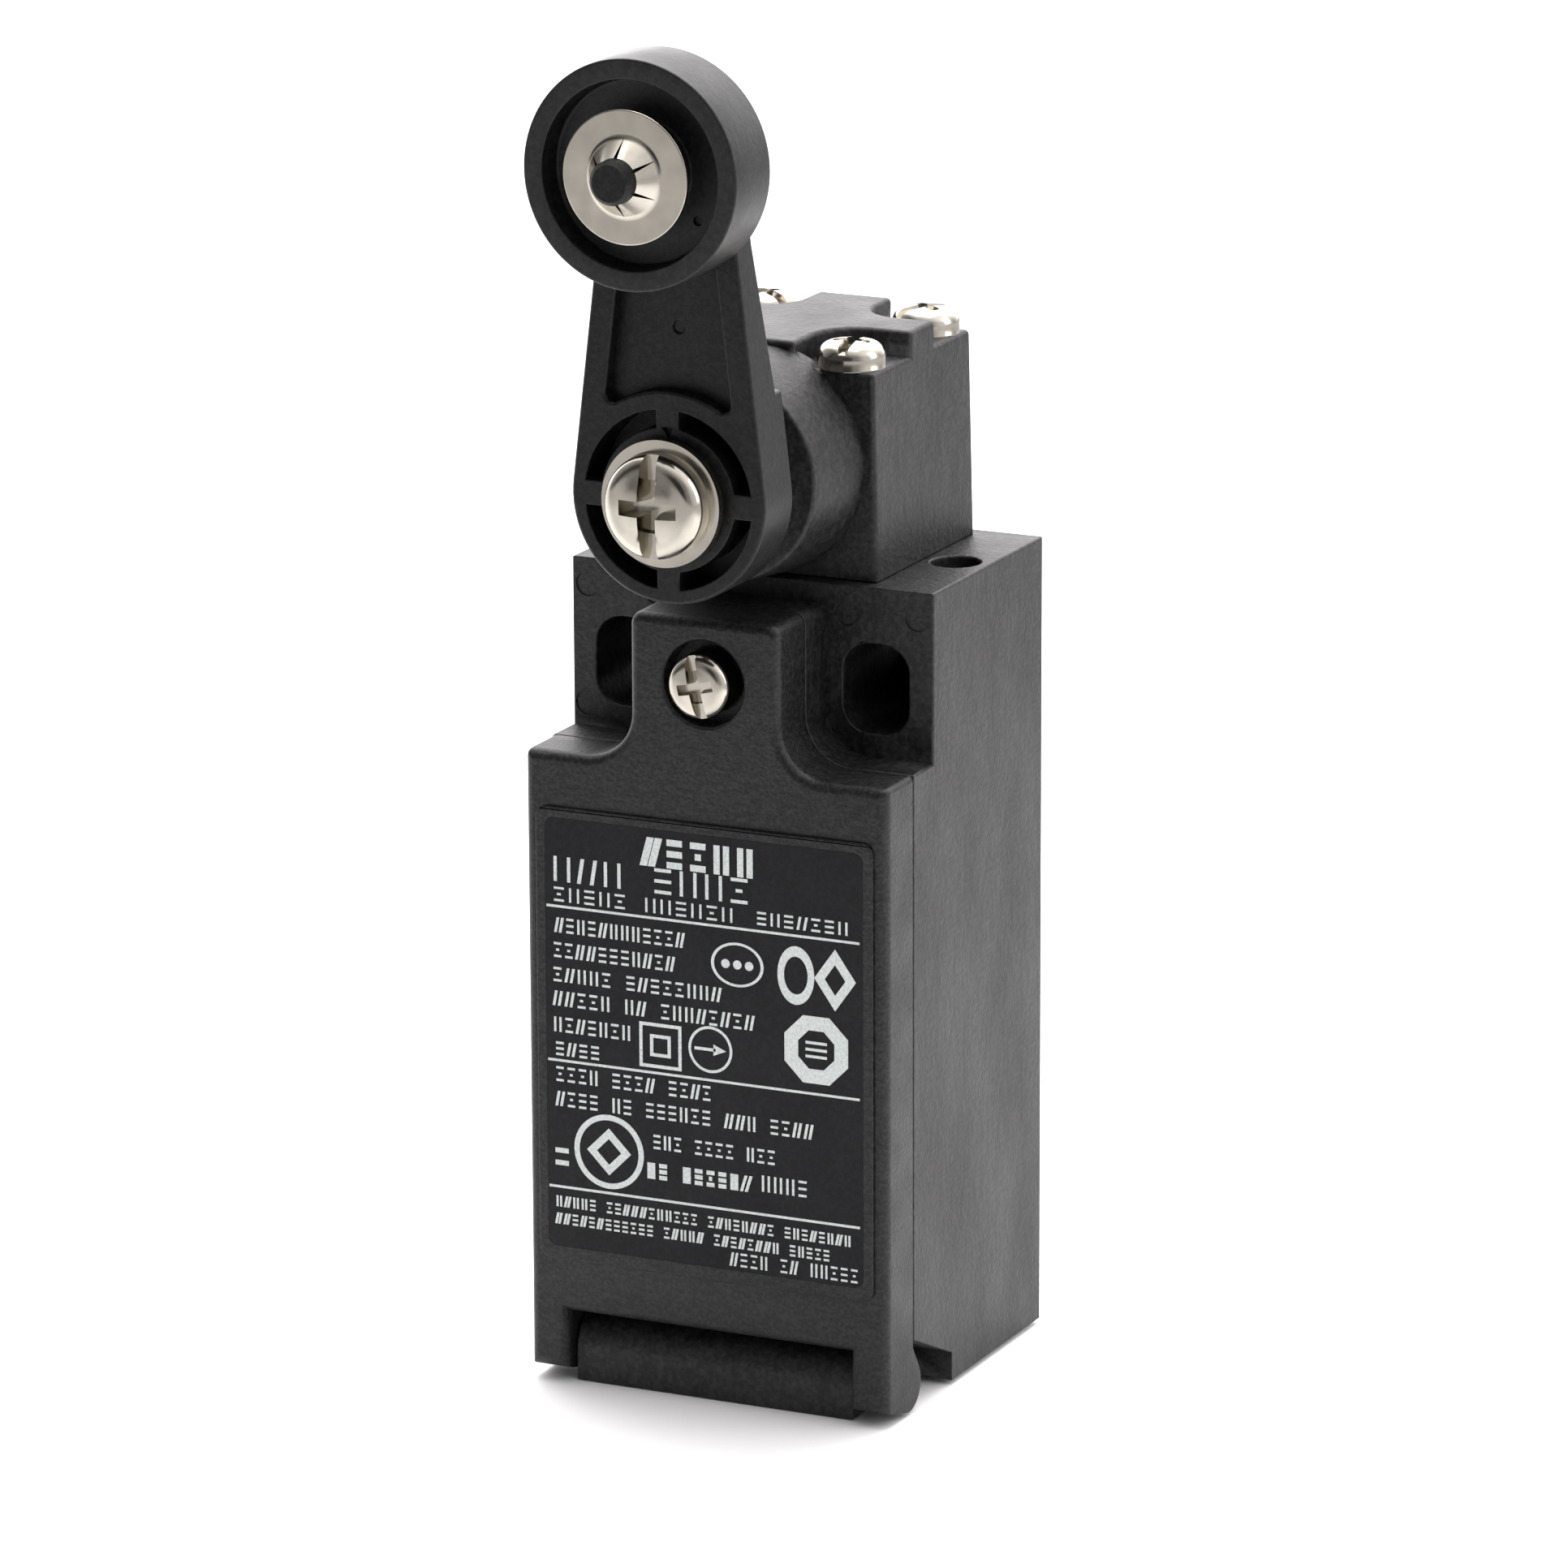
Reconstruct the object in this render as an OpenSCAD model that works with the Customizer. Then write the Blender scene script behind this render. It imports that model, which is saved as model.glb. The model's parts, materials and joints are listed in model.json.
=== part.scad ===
// Compact safety limit switch with a one-sided roller lever, a hinged front cover, a bottom conduit
// entry and a double-break contact block.
// Axes: X to the right, Y to the back, Z up. The origin is midway between the two mounting slots, on
// the back face. Inside the file every height is measured up from the underside of the case, and
// every depth is measured forward from the back face.

/* [Case] */
// Width of the case and cover
case_w = 30.7; // [30.4:0.1:31]
// Height of the case from its underside to its top face
case_h = 64.1; // [63.8:0.1:65]
// Depth of the narrow upper block
block_d = 20.9; // [20.8:0.1:21.2]
// Depth of the seam between the case and the cover
seam_d = 24.5; // [24.3:0.1:24.8]
// Height of the shoulders where the deep lower case ends
shoulder_h = 50.7; // [50.4:0.1:51]
// Thickness of the side walls and the roof of the wiring chamber
wall = 3; // [2.9:0.05:3.1]
// Thickness of the floor around the conduit entry
floor_t = 7.2; // [6.8:0.1:7.5]

/* [Mounting] */
// Height of the mounting slots above the underside
slot_h = 56.1; // [56:0.1:56.3]
// Distance between the centres of the two mounting slots
slot_pitch = 21; // [20.8:0.1:21.2]
// Height of a mounting slot, for an M4 screw
slot_w = 4.35; // [4.2:0.05:4.5]
// Overall length of a mounting slot
slot_l = 5.35; // [5.1:0.05:5.5]
// Radius of the conduit entry, the core of an M20 x 1.5 thread
conduit_r = 9.25; // [9.1:0.05:9.3]
// Depth of the middle of the conduit entry
conduit_d = 13.4; // [13.2:0.1:13.6]

/* [Cover] */
// Depth of the cover's front face
cover_d = 29.5; // [29.3:0.1:29.7]
// Height of the front lower edge of the cover
cover_bottom_h = 0.95; // [0.7:0.05:1.2]
// Width of the tongue that holds the cover screw
tongue_w = 12.6; // [12:0.1:13]
// Height of the top of the tongue
tongue_h = 62.5; // [62:0.1:63]
// Height of the cover screw
cover_screw_h = 57.4; // [57.2:0.1:57.6]
// Depth of the cover's hinge axis
hinge_d = 25.3; // [25.2:0.1:25.4]
// Height of the cover's hinge axis
hinge_h = 2; // [1.9:0.05:2.1]
// Radius of the hinge barrel on the case
barrel_r = 3; // [2.8:0.05:3.1]

/* [Head] */
// Half the width of the head at its base
head_half_w = 10.05; // [10:0.05:10.2]
// Height of the raised cross on top of the head
head_top_h = 82.4; // [82:0.1:83]
// Height of the four screw pockets on top of the head
pocket_h = 80.45; // [80.2:0.05:80.7]
// Depth of the front face of the head
head_front_d = 19.65; // [19.5:0.05:19.8]
// Depth of the back face of the head
head_back_d = 1.3; // [1.1:0.1:1.4]
// Depth of the front end of the shaft boss
boss_d = 27; // [26.8:0.1:27.1]

/* [Lever and roller] */
// Height of the shaft
shaft_h = 73; // [72.8:0.1:73.2]
// Distance from the shaft to the roller pin
lever_radius = 25.85; // [25:0.05:28]
// Radius of the lever's hub
hub_r = 8.05; // [8:0.05:8.2]
// Radius of the lever's small end
lever_tip_r = 5; // [4.9:0.05:5.5]
// Depth of the lever's front face
lever_front_d = 35.4; // [35.3:0.05:35.5]
// Depth of the back of the lever's hub
hub_back_d = 30.3; // [30.25:0.05:30.5]
// Radius of the roller
roller_r = 8.75; // [8:0.05:9]

/* [Contacts] */
// Travel of the plunger and the contact carrier that the block leaves room for
travel = 3.2; // [2.5:0.1:3.2]
// Height of the lower moving contact
lower_contact_h = 26.5; // [26.4:0.1:26.6]
// Height of the upper moving contact
upper_contact_h = 37.5; // [37.4:0.1:37.6]

/* [Hidden] */

$fn = 64;
cut = 1;             // how far a cutter runs past the face it opens
gap = 0.05;          // running clearance on a radius, and the play between neighbouring faces
snug = 0.02;         // clearance between fixed pieces that sit in each other
half_w = case_w / 2;

black = [0.16, 0.16, 0.17];
soft_black = [0.2, 0.2, 0.21];
satin_black = [0.12, 0.12, 0.13];
plated = [0.8, 0.77, 0.7];
brass = [0.8, 0.65, 0.3];
silver = [0.85, 0.85, 0.86];
steel = [0.6, 0.6, 0.62];
rubber = [0.08, 0.08, 0.08];
cream = [0.85, 0.82, 0.72];

// Chamber inside the case
chamber_half_w = half_w - wall;
chamber_top_h = shoulder_h - wall;
back_wall = 3;

// Ports in the upper block
passage_r = 3.4;
axis_d = 10.5;                   // depth of the plunger, the carrier and the cam
recess_w = 5.5;                  // front recess of a mounting slot
recess_h = 7.05;
recess_corner_r = 2.2;
recess_bottom_d = 7;
top_hole_x = 12.53;
top_hole_r = 1.95;
top_hole_t = 3.4;
pin_mark_r = 1;
pin_mark_t = 0.12;
pin_marks = [[14, 62], [14.1, 52.5], [8.05, 61.9]];

// Hinge
barrel_half_l = 11.9;
barrel_bottom_h = -0.3;
leg_x = 12.1;
trunnion_r = 1.3;
trunnion_x = 14.3;
lobe_r = 2.1;
notch_wall_d = 17.3;
notch_wall_h = 2.3;
notch_seam_h = 5.5;

// Cover
seam_gap = 0.15;
cover_back_d = seam_d + seam_gap;
cover_skin = 2;
plate_half_w = 14.3;
plate_bottom_h = 9.9;
plate_top_h = 46.4;
plate_t = 0.3;
label_half_w = 13.5;
label_bottom_h = 11;
label_top_h = 45.6;
label_t = 0.2;
tongue_fillet = 3.8;
tongue_corner_r = 1;
counterbore_r = 3.36;
cover_screw_seat_d = 27.6;
packing_x = 13.8;
packing_overlap = 1.25;
packing_t = 1;
plate_corner_r = 1;
label_corner_r = 0.8;
lobe_neck = 2.9;                 // height of the leg's inner corner above the hinge axis
insert_r = 2.6;
insert_bore_r = 1.9;
insert_back_d = 19.6;
insert_front_d = seam_d - 0.2;
insert_hole_d = 19;
cover_screw_r = 1.5;
cover_screw_l = 7;
cover_screw_hole_r = 1.7;
cover_screw_head = [2.58, 2.5, 3.6, 0.9];  // as for every screw: radius, edge height, height, drive

// Head
head_draft = 0.3;
head_depth_middle = (head_front_d + head_back_d) / 2;
head_screw_reach = 6.9;          // from the middle of the head to a screw, in X and in Y
head_screw_r = 1.5;
head_screw_end_h = 60.4;
head_screw_head = [2.65, 1, 2.1, 0.9];
head_screw_room = 0.2;           // room below the tip of a head screw
pocket_x = 3.15;
pocket_y = 2.3;
pocket_corner_r = 3.5;
boss_root_r = 9.1;
boss_tip_r = 8.25;
cavity_r = 6.7;
cavity_front_d = 14.7;
cavity_back_d = 6;
gasket_t = 0.8;
gasket_margin = 1;
gasket_corner_r = 1;

// Shaft train
shaft_r = 4;
tail_r = 2.5;
tail_end_d = 2.8;
tail_hole_d = 2.6;
bush_r = 5.5;
bush_front_d = 23.5;
seal_front_d = 26.4;
collar_r = 6.3;
shaft_front_d = 35.2;
shaft_step_d = cavity_back_d + 0.1;
collar_back_d = boss_d + 0.15;
tapped_l = 10;
groove_r = 3.2;
clip_back_d = 13.9;
clip_t = 0.6;
clip_r = 5.2;
clip_mouth = 3.2;                // width of the clip's opening
seal_lip = 0.8;
seal_lip_t = 0.6;
lever_spring_r = 4.75;
lever_spring_wire_r = 0.25;
lever_spring_turns = 3;
lever_spring_l = 2.3;
cam_r = 6.2;
cam_w = 4;
cam_flat = 4.4;
lever_screw_r = 2.5;
lever_screw_l = 10;
lever_screw_head = [4.1, 0.9, 2.6, 1.2];
spring_washer_r = 4.4;
spring_washer_t = 0.55;
spring_washer_split = 0.7;
flat_washer_r = 4.9;
flat_washer_t = 0.75;

// Lever and roller
slot_ring_outer_r = 6.94;
slot_ring_inner_r = 5.57;
slot_ring_t = 3.6;
spoke_w = 1.9;
rim_w = 2;
lever_pocket_t = 1.3;
lever_pocket_hub_r = 8.4;
lever_pocket_tip_r = lever_tip_r - 0.4;
lever_pocket_corner_r = 0.6;
mark_half_w = 0.45;              // small arrow on the hub that points at the shaft
mark_low_r = 4.5;
mark_t = 0.5;
lever_step_rise = 8.2;           // above the shaft, where the hub's step is
lever_step_t = 1;
lever_thin_rise = 19.5;          // above the shaft, where the arm is thinnest
lever_thin_t = 2.2;
gate_x = 0.4;
gate_rise = 13.1;
gate_r = 0.5;
gate_t = 0.2;
roller_h = shaft_h + lever_radius;
journal_r = 2.9;
roller_back_d = 35.55;
roller_front_d = 41.5;
roller_recess_r = 7.2;
roller_recess_floor_d = 39.4;
roller_hub_r = 4;
roller_hub_front_d = 41.6;
roller_chamfer = 0.3;
roller_recess_draft = 0.15;
retainer_back_d = 41.75;
retainer_r = 5.1;
retainer_t = 0.5;
retainer_cone_r = 3;
retainer_cone_t = 1.5;
retainer_slit = 0.3;
retainer_slit_r = retainer_cone_r - 0.15;
stub_r = 1.7;
pin_tip_d = 44.9;
pin_chamfer = 0.3;

// Contact block
block_half_w = 11.9;
block_back_d = 3.2;
block_front_d = 19.5;
block_bottom_h = 14;
block_top_h = 46.5;
block_wall = 1.2;
lid_t = 1.8;
lid_front_d = block_front_d + lid_t;
spring_solid_t = 3.1;            // height of the carrier spring when fully pressed
carrier_bottom_h = block_bottom_h + block_wall + spring_solid_t + travel;
carrier_half_x = 2.6;
carrier_half_y = 2.8;
carrier_top_h = 45;
stem_r = 2.2;
stem_top_h = 53.9;
window_half_y = 2.1;
window_t = 4.2;
bridge_half_l = 9.4;
bridge_half_y = 2;
bridge_t = 0.6;
contact_x = 8.2;
button_t = 0.6;
button_r = 1.4;
terminal_w = 5;
terminal_t = 0.8;
tab_w = 6;
tab_h = 7;
tab_screw_rise = 3.9;
terminal_screw_r = 1.5;
terminal_screw_l = 5.5;
terminal_screw_head = [2.6, 1, 1.7, 0.8];
clamp_half_w = 2.9;
clamp_t = 0.9;
block_screw_x = 9.5;
block_screw_h = 18.5;
block_screw_r = 1.25;
block_screw_end_d = 1.6;
block_screw_hole_d = 1.4;
block_screw_head = [2.3, 0.9, 1.6, 0.6];
contact_spring_r = 1.5;
contact_spring_wire_r = 0.25;
carrier_spring_r = 2;
carrier_spring_wire_r = 0.3;
spring_turns = 4;
contact_heights = [lower_contact_h, upper_contact_h];

// Plunger
plunger_r = 2.5;
plunger_play = 0.1;
plunger_top_h = shaft_h - cam_r - plunger_play;
plunger_bottom_h = stem_top_h + plunger_play;
flange_r = 3.1;
flange_top_h = case_h - plunger_play;
flange_t = 1.6;
guide_t = 2;

// ---- Shared shapes ----

// Places heights measured from the underside so that the mounting slots are at zero
module from_underside() {
    translate([0, 0, -slot_h]) children();
}

// Extrudes an outline drawn in X and Z between two depths
module between_depths(near, far) {
    translate([0, -near, 0]) rotate([90, 0, 0]) linear_extrude(far - near) children();
}

// Extrudes a profile drawn in Y and Z between two positions along X
module across(x_low, x_high) {
    translate([x_low, 0, 0]) rotate([90, 0, 90]) linear_extrude(x_high - x_low) children();
}

// Box from its limits in X, in depth and in height
module block(x, d, h) {
    translate([x[0], -d[1], h[0]]) cube([x[1] - x[0], d[1] - d[0], h[1] - h[0]]);
}

// Cylinder along Y at a place in X and Z, between two depths
module rod(x, h, near, far, r) {
    translate([x, -near, h]) rotate([90, 0, 0]) cylinder(r = r, h = far - near);
}

// Solid of revolution about an axis along Y; the profile is drawn as radius and depth
module turned(x, h) {
    translate([x, 0, h]) rotate([90, 0, 0]) rotate_extrude() children();
}

// The same child on the right and on the left
module both_sides() {
    children();
    mirror([1, 0, 0]) children();
}

// Rectangle with round corners, from its limits in both directions
module rounded_rect(x, y, r) {
    translate([x[0] + r, y[0]]) square([x[1] - x[0] - 2 * r, y[1] - y[0]]);
    translate([x[0], y[0] + r]) square([x[1] - x[0], y[1] - y[0] - 2 * r]);
    for (cx = [x[0] + r, x[1] - r], cy = [y[0] + r, y[1] - r]) translate([cx, cy]) circle(r);
}

// Material that rounds an inside corner at the origin, in the first quadrant
module inside_fillet(r) {
    difference() {
        translate([-cut, -cut]) square(r + cut);
        translate([r, r]) circle(r);
    }
}

// Domed screw along +Z with its seat at zero, a slot across the head and a short cross. The head is
// given as its radius, the height of its edge, its height and the width of its drive
module domed_screw(shank_r, shank_l, head) {
    head_r = head[0];
    edge_t = head[1];
    head_t = head[2];
    drive_w = head[3];
    dome = head_t - edge_t;
    dome_r = (head_r * head_r + dome * dome) / (2 * dome);
    drive_t = head_t * 0.5;
    difference() {
        union() {
            translate([0, 0, -shank_l]) cylinder(r = shank_r, h = shank_l + edge_t / 2);
            intersection() {
                cylinder(r = head_r, h = head_t + cut);
                translate([0, 0, head_t - dome_r]) sphere(dome_r, $fn = 96);
            }
        }
        translate([0, 0, head_t - drive_t / 2 + cut / 2])
            cube([drive_w, 2 * head_r + cut, drive_t + cut], center = true);
        translate([0, 0, head_t - drive_t / 2 + cut / 2])
            cube([head_r * 1.05, drive_w, drive_t + cut], center = true);
    }
}

// Coil spring along +Z from zero to its height, swept as a tube of eight sides
module coil(r, wire_r, turns, height) {
    steps = ceil(turns * 12);
    sides = 8;
    rise = height - 2 * wire_r;
    ring = function(i) let (a = 360 * turns * i / steps, z = wire_r + rise * i / steps)
        [for (j = [0 : sides - 1]) let (b = 360 * j / sides, q = r + wire_r * cos(b))
            [q * cos(a), q * sin(a), z + wire_r * sin(b)]];
    points = [for (i = [0 : steps]) each ring(i)];
    walls = [for (i = [0 : steps - 1], j = [0 : sides - 1]) let (k = (j + 1) % sides)
        [i * sides + j, (i + 1) * sides + j, (i + 1) * sides + k, i * sides + k]];
    start = [for (j = [0 : sides - 1]) j];
    end = [for (j = [sides - 1 : -1 : 0]) steps * sides + j];
    polyhedron(points = points, faces = concat(walls, [start, end]));
}

// ---- Case ----

// Front outline of the tongue and of its fillets on the shoulders
module tongue_outline() {
    translate([-tongue_w / 2, shoulder_h - cut])
        square([tongue_w, tongue_h - shoulder_h + cut - tongue_corner_r]);
    rounded_rect([-tongue_w / 2, tongue_w / 2], [shoulder_h, tongue_h], tongue_corner_r);
    both_sides() translate([tongue_w / 2, shoulder_h]) inside_fillet(tongue_fillet);
}

module mounting_slot() {
    near_x = (slot_pitch - slot_l + slot_w) / 2;
    far_x = (slot_pitch + slot_l - slot_w) / 2;
    rod(near_x, slot_h, -cut, block_d + cut, slot_w / 2);
    rod(far_x, slot_h, -cut, block_d + cut, slot_w / 2);
    block([near_x, far_x], [-cut, block_d + cut], [slot_h - slot_w / 2, slot_h + slot_w / 2]);
    between_depths(recess_bottom_d, block_d + cut)
        rounded_rect([slot_pitch / 2 - recess_w / 2, slot_pitch / 2 + recess_w / 2],
                     [slot_h - recess_h / 2, slot_h + recess_h / 2], recess_corner_r);
}

// Corner that is cut away from the underside to let the cover's hinge leg swing
module hinge_notch() {
    slope = (notch_seam_h - notch_wall_h) / (seam_d - notch_wall_d);
    across(barrel_half_l, half_w + cut) polygon([
        [-notch_wall_d, -cut],
        [-notch_wall_d, notch_wall_h],
        [-seam_d - cut, notch_seam_h + slope * cut],
        [-seam_d - cut, -cut]
    ]);
}

// Round at the top, with a flat front and a flat underside
module hinge_barrel() {
    across(-barrel_half_l, barrel_half_l) intersection() {
        translate([-hinge_d, hinge_h]) union() {
            circle(barrel_r);
            translate([-barrel_r, -barrel_r]) square(barrel_r);
        }
        translate([-cover_d, barrel_bottom_h]) square([cover_d, shoulder_h]);
    }
    across(-trunnion_x, trunnion_x) translate([-hinge_d, hinge_h]) circle(trunnion_r);
}

module case() {
    color(black) from_underside() difference() {
        union() {
            difference() {
                union() {
                    block([-half_w, half_w], [0, seam_d], [0, shoulder_h]);
                    block([-half_w, half_w], [0, block_d], [0, case_h]);
                    between_depths(block_d - cut, seam_d) tongue_outline();
                }
                both_sides() hinge_notch();
            }
            hinge_barrel();
        }
        both_sides() {
            mounting_slot();
            translate([top_hole_x, -axis_d, case_h - top_hole_t])
                cylinder(r = top_hole_r, h = top_hole_t + cut);
            for (p = pin_marks) rod(p[0], p[1], block_d - pin_mark_t, block_d + cut, pin_mark_r);
            for (s = [-1, 1])
                translate([head_screw_reach, -head_depth_middle + s * head_screw_reach,
                           head_screw_end_h - head_screw_room])
                    cylinder(r = head_screw_r + snug, h = case_h);
            rod(block_screw_x, block_screw_h, block_screw_hole_d, back_wall + cut, block_screw_r + gap);
        }
        block([-chamber_half_w, chamber_half_w], [back_wall, seam_d + cut], [floor_t, chamber_top_h]);
        translate([0, -conduit_d, -cut]) cylinder(r = conduit_r, h = floor_t + 2 * cut);
        translate([0, -axis_d, chamber_top_h - cut]) cylinder(r = passage_r, h = case_h);
        rod(0, cover_screw_h, insert_hole_d, seam_d + cut, insert_r);
    }
}

// Threaded sleeve that the cover screw goes into; its hole leaves the screw room to swing out
module cover_screw_insert() {
    color(brass) from_underside() difference() {
        rod(0, cover_screw_h, insert_back_d, insert_front_d, insert_r - snug);
        rod(0, cover_screw_h, insert_back_d - cut, seam_d + cut, insert_bore_r);
    }
}

// ---- Contact block ----

module contact_block() {
    color(cream) from_underside() difference() {
        block([-block_half_w, block_half_w], [block_back_d, block_front_d],
              [block_bottom_h, block_top_h]);
        block([-block_half_w + block_wall, block_half_w - block_wall],
              [block_back_d + block_wall, block_front_d + cut],
              [block_bottom_h + block_wall, block_top_h - block_wall]);
        translate([0, -axis_d, block_top_h - 2 * block_wall])
            cylinder(r = stem_r + gap, h = 4 * block_wall);
        both_sides() rod(block_screw_x, block_screw_h, 0, block_front_d + cut, block_screw_r + gap);
    }
}

// The front of the block, with a slot for each terminal and holes for its screws
module contact_block_lid() {
    color(cream) from_underside() difference() {
        block([-block_half_w, block_half_w], [block_front_d + snug, lid_front_d],
              [block_bottom_h, block_top_h]);
        both_sides() {
            rod(block_screw_x, block_screw_h, 0, lid_front_d + cut, block_screw_r + gap);
            for (h = contact_heights) {
                block([contact_x - terminal_w / 2 - gap, contact_x + terminal_w / 2 + gap],
                      [0, lid_front_d + cut],
                      [terminal_low(h) - gap, terminal_low(h) + terminal_t + gap]);
                rod(contact_x, terminal_low(h) + tab_screw_rise, 0, lid_front_d + cut,
                    terminal_screw_r + gap);
            }
        }
    }
}

// Height of the underside of the terminal that belongs to a moving contact
function terminal_low(h) = h + bridge_t + 2 * button_t + gap;

module block_screws() {
    color(plated) from_underside() both_sides()
        translate([block_screw_x, -lid_front_d, block_screw_h]) rotate([90, 0, 0])
            domed_screw(block_screw_r, lid_front_d - block_screw_end_d, block_screw_head);
}

module terminals() {
    color(brass) from_underside() both_sides() for (h = contact_heights) difference() {
        union() {
            block([contact_x - terminal_w / 2, contact_x + terminal_w / 2],
                  [axis_d - bridge_half_y, lid_front_d + terminal_t],
                  [terminal_low(h), terminal_low(h) + terminal_t]);
            block([contact_x - tab_w / 2, contact_x + tab_w / 2],
                  [lid_front_d, lid_front_d + terminal_t],
                  [terminal_low(h), terminal_low(h) + tab_h]);
        }
        rod(contact_x, terminal_low(h) + tab_screw_rise, 0, lid_front_d + 2 * cut,
            terminal_screw_r + gap);
    }
}

// Silver rivets under the terminals
module fixed_contacts() {
    color(silver) from_underside() both_sides() for (h = contact_heights)
        translate([contact_x, -axis_d, terminal_low(h) - button_t])
            cylinder(r = button_r, h = button_t);
}

module clamp_washers() {
    color(plated) from_underside() both_sides() for (h = contact_heights) difference() {
        screw_h = terminal_low(h) + tab_screw_rise;
        block([contact_x - clamp_half_w, contact_x + clamp_half_w],
              [lid_front_d + terminal_t, lid_front_d + terminal_t + clamp_t],
              [screw_h - clamp_half_w, screw_h + clamp_half_w]);
        rod(contact_x, screw_h, 0, 2 * lid_front_d, terminal_screw_r + gap);
    }
}

module terminal_screws() {
    color(plated) from_underside() both_sides() for (h = contact_heights)
        translate([contact_x, -lid_front_d - terminal_t - clamp_t, terminal_low(h) + tab_screw_rise])
            rotate([90, 0, 0]) domed_screw(terminal_screw_r, terminal_screw_l, terminal_screw_head);
}

// ---- Moving contacts ----

module contact_carrier() {
    color("saddlebrown") from_underside() difference() {
        union() {
            block([-carrier_half_x, carrier_half_x],
                  [axis_d - carrier_half_y, axis_d + carrier_half_y],
                  [carrier_bottom_h, carrier_top_h]);
            translate([0, -axis_d, carrier_top_h - cut])
                cylinder(r = stem_r, h = stem_top_h - carrier_top_h + cut);
        }
        for (h = contact_heights)
            block([-carrier_half_x - cut, carrier_half_x + cut],
                  [axis_d - window_half_y, axis_d + window_half_y],
                  [h - window_t, h + bridge_t + snug]);
    }
}

// Two bridges that each join the contacts on their left and right
module moving_contacts() {
    color(brass) from_underside() for (h = contact_heights)
        block([-bridge_half_l, bridge_half_l], [axis_d - bridge_half_y, axis_d + bridge_half_y],
              [h, h + bridge_t]);
}

module contact_buttons() {
    color(silver) from_underside() both_sides() for (h = contact_heights)
        translate([contact_x, -axis_d, h + bridge_t]) cylinder(r = button_r, h = button_t);
}

module contact_springs() {
    color(steel) from_underside() for (h = contact_heights)
        translate([0, -axis_d, h - window_t + gap])
            coil(contact_spring_r, contact_spring_wire_r, spring_turns, window_t - 2 * gap);
}

module carrier_spring() {
    floor_h = block_bottom_h + block_wall;
    color(steel) from_underside() translate([0, -axis_d, floor_h + gap])
        coil(carrier_spring_r, carrier_spring_wire_r, spring_turns,
             carrier_bottom_h - floor_h - 2 * gap);
}

// ---- Plunger ----

module plunger() {
    color(satin_black) from_underside() translate([0, -axis_d, 0]) {
        translate([0, 0, plunger_bottom_h])
            cylinder(r = plunger_r, h = plunger_top_h - plunger_bottom_h);
        translate([0, 0, flange_top_h - flange_t]) cylinder(r = flange_r, h = flange_t);
    }
}

// Plate that closes the head from below and guides the plunger
module plunger_guide() {
    color(soft_black) from_underside() difference() {
        block([-cavity_r + gap, cavity_r - gap], [cavity_back_d + gap, cavity_front_d - gap],
              [case_h, case_h + guide_t]);
        translate([0, -axis_d, case_h - cut]) cylinder(r = plunger_r + gap, h = guide_t + 2 * cut);
    }
}

// ---- Head ----

// Places a child at each of the four head screws
module at_head_screws() {
    for (sx = [-1, 1], sy = [-1, 1])
        translate([sx * head_screw_reach, -head_depth_middle + sy * head_screw_reach, 0]) children();
}

module head_block() {
    top_half_w = head_half_w - head_draft;
    intersection() {
        between_depths(0, block_d) polygon([
            [-head_half_w, case_h], [head_half_w, case_h],
            [top_half_w, head_top_h], [-top_half_w, head_top_h]
        ]);
        across(-half_w, half_w) polygon([
            [-head_front_d, case_h], [-head_back_d, case_h],
            [-head_back_d - head_draft, head_top_h], [-head_front_d, head_top_h]
        ]);
    }
}

// Outline of the raised cross: four arms that reach past the head's sides, between the screws' pockets
module cross_outline() {
    reach = 4 * pocket_corner_r;
    difference() {
        square(2 * (head_half_w + cut), center = true);
        for (sx = [0, 1], sy = [0, 1]) mirror([sx, 0]) mirror([0, sy])
            rounded_rect([pocket_x, pocket_x + reach], [pocket_y, pocket_y + reach], pocket_corner_r);
    }
}

module gasket_outline(margin) {
    rounded_rect([-head_half_w + margin, head_half_w - margin],
                 [-head_front_d + margin, -head_back_d - margin], gasket_corner_r);
}

module head() {
    color(black) from_underside() difference() {
        union() {
            intersection() {
                head_block();
                union() {
                    block([-half_w, half_w], [0, block_d], [case_h, pocket_h]);
                    translate([0, -head_depth_middle, pocket_h - cut])
                        linear_extrude(head_top_h - pocket_h + 2 * cut) cross_outline();
                }
            }
            translate([0, -head_front_d + cut, shaft_h]) rotate([90, 0, 0])
                cylinder(r1 = boss_root_r, r2 = boss_tip_r, h = boss_d - head_front_d + cut);
        }
        block([-half_w, half_w], [0, block_d + gap], [0, case_h]);
        rod(0, shaft_h, cavity_back_d, cavity_front_d, cavity_r);
        block([-cavity_r, cavity_r], [cavity_back_d, cavity_front_d], [case_h - cut, shaft_h]);
        rod(0, shaft_h, cavity_front_d - cut, boss_d + cut, bush_r);
        rod(0, shaft_h, tail_hole_d, cavity_back_d + cut, tail_r + gap);
        translate([0, 0, case_h - cut]) linear_extrude(gasket_t + cut) gasket_outline(gasket_margin);
        at_head_screws() cylinder(r = head_screw_r + gap, h = 2 * case_h);
    }
}

module head_gasket() {
    color(rubber) from_underside() difference() {
        translate([0, 0, case_h]) linear_extrude(gasket_t) gasket_outline(gasket_margin + snug);
        block([-cavity_r, cavity_r], [cavity_back_d, cavity_front_d], [0, 2 * case_h]);
        at_head_screws() cylinder(r = head_screw_r + gap, h = 2 * case_h);
    }
}

module head_screws() {
    color(plated) from_underside() at_head_screws() translate([0, 0, pocket_h])
        domed_screw(head_screw_r, pocket_h - head_screw_end_h, head_screw_head);
}

// ---- Shaft train ----

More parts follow.
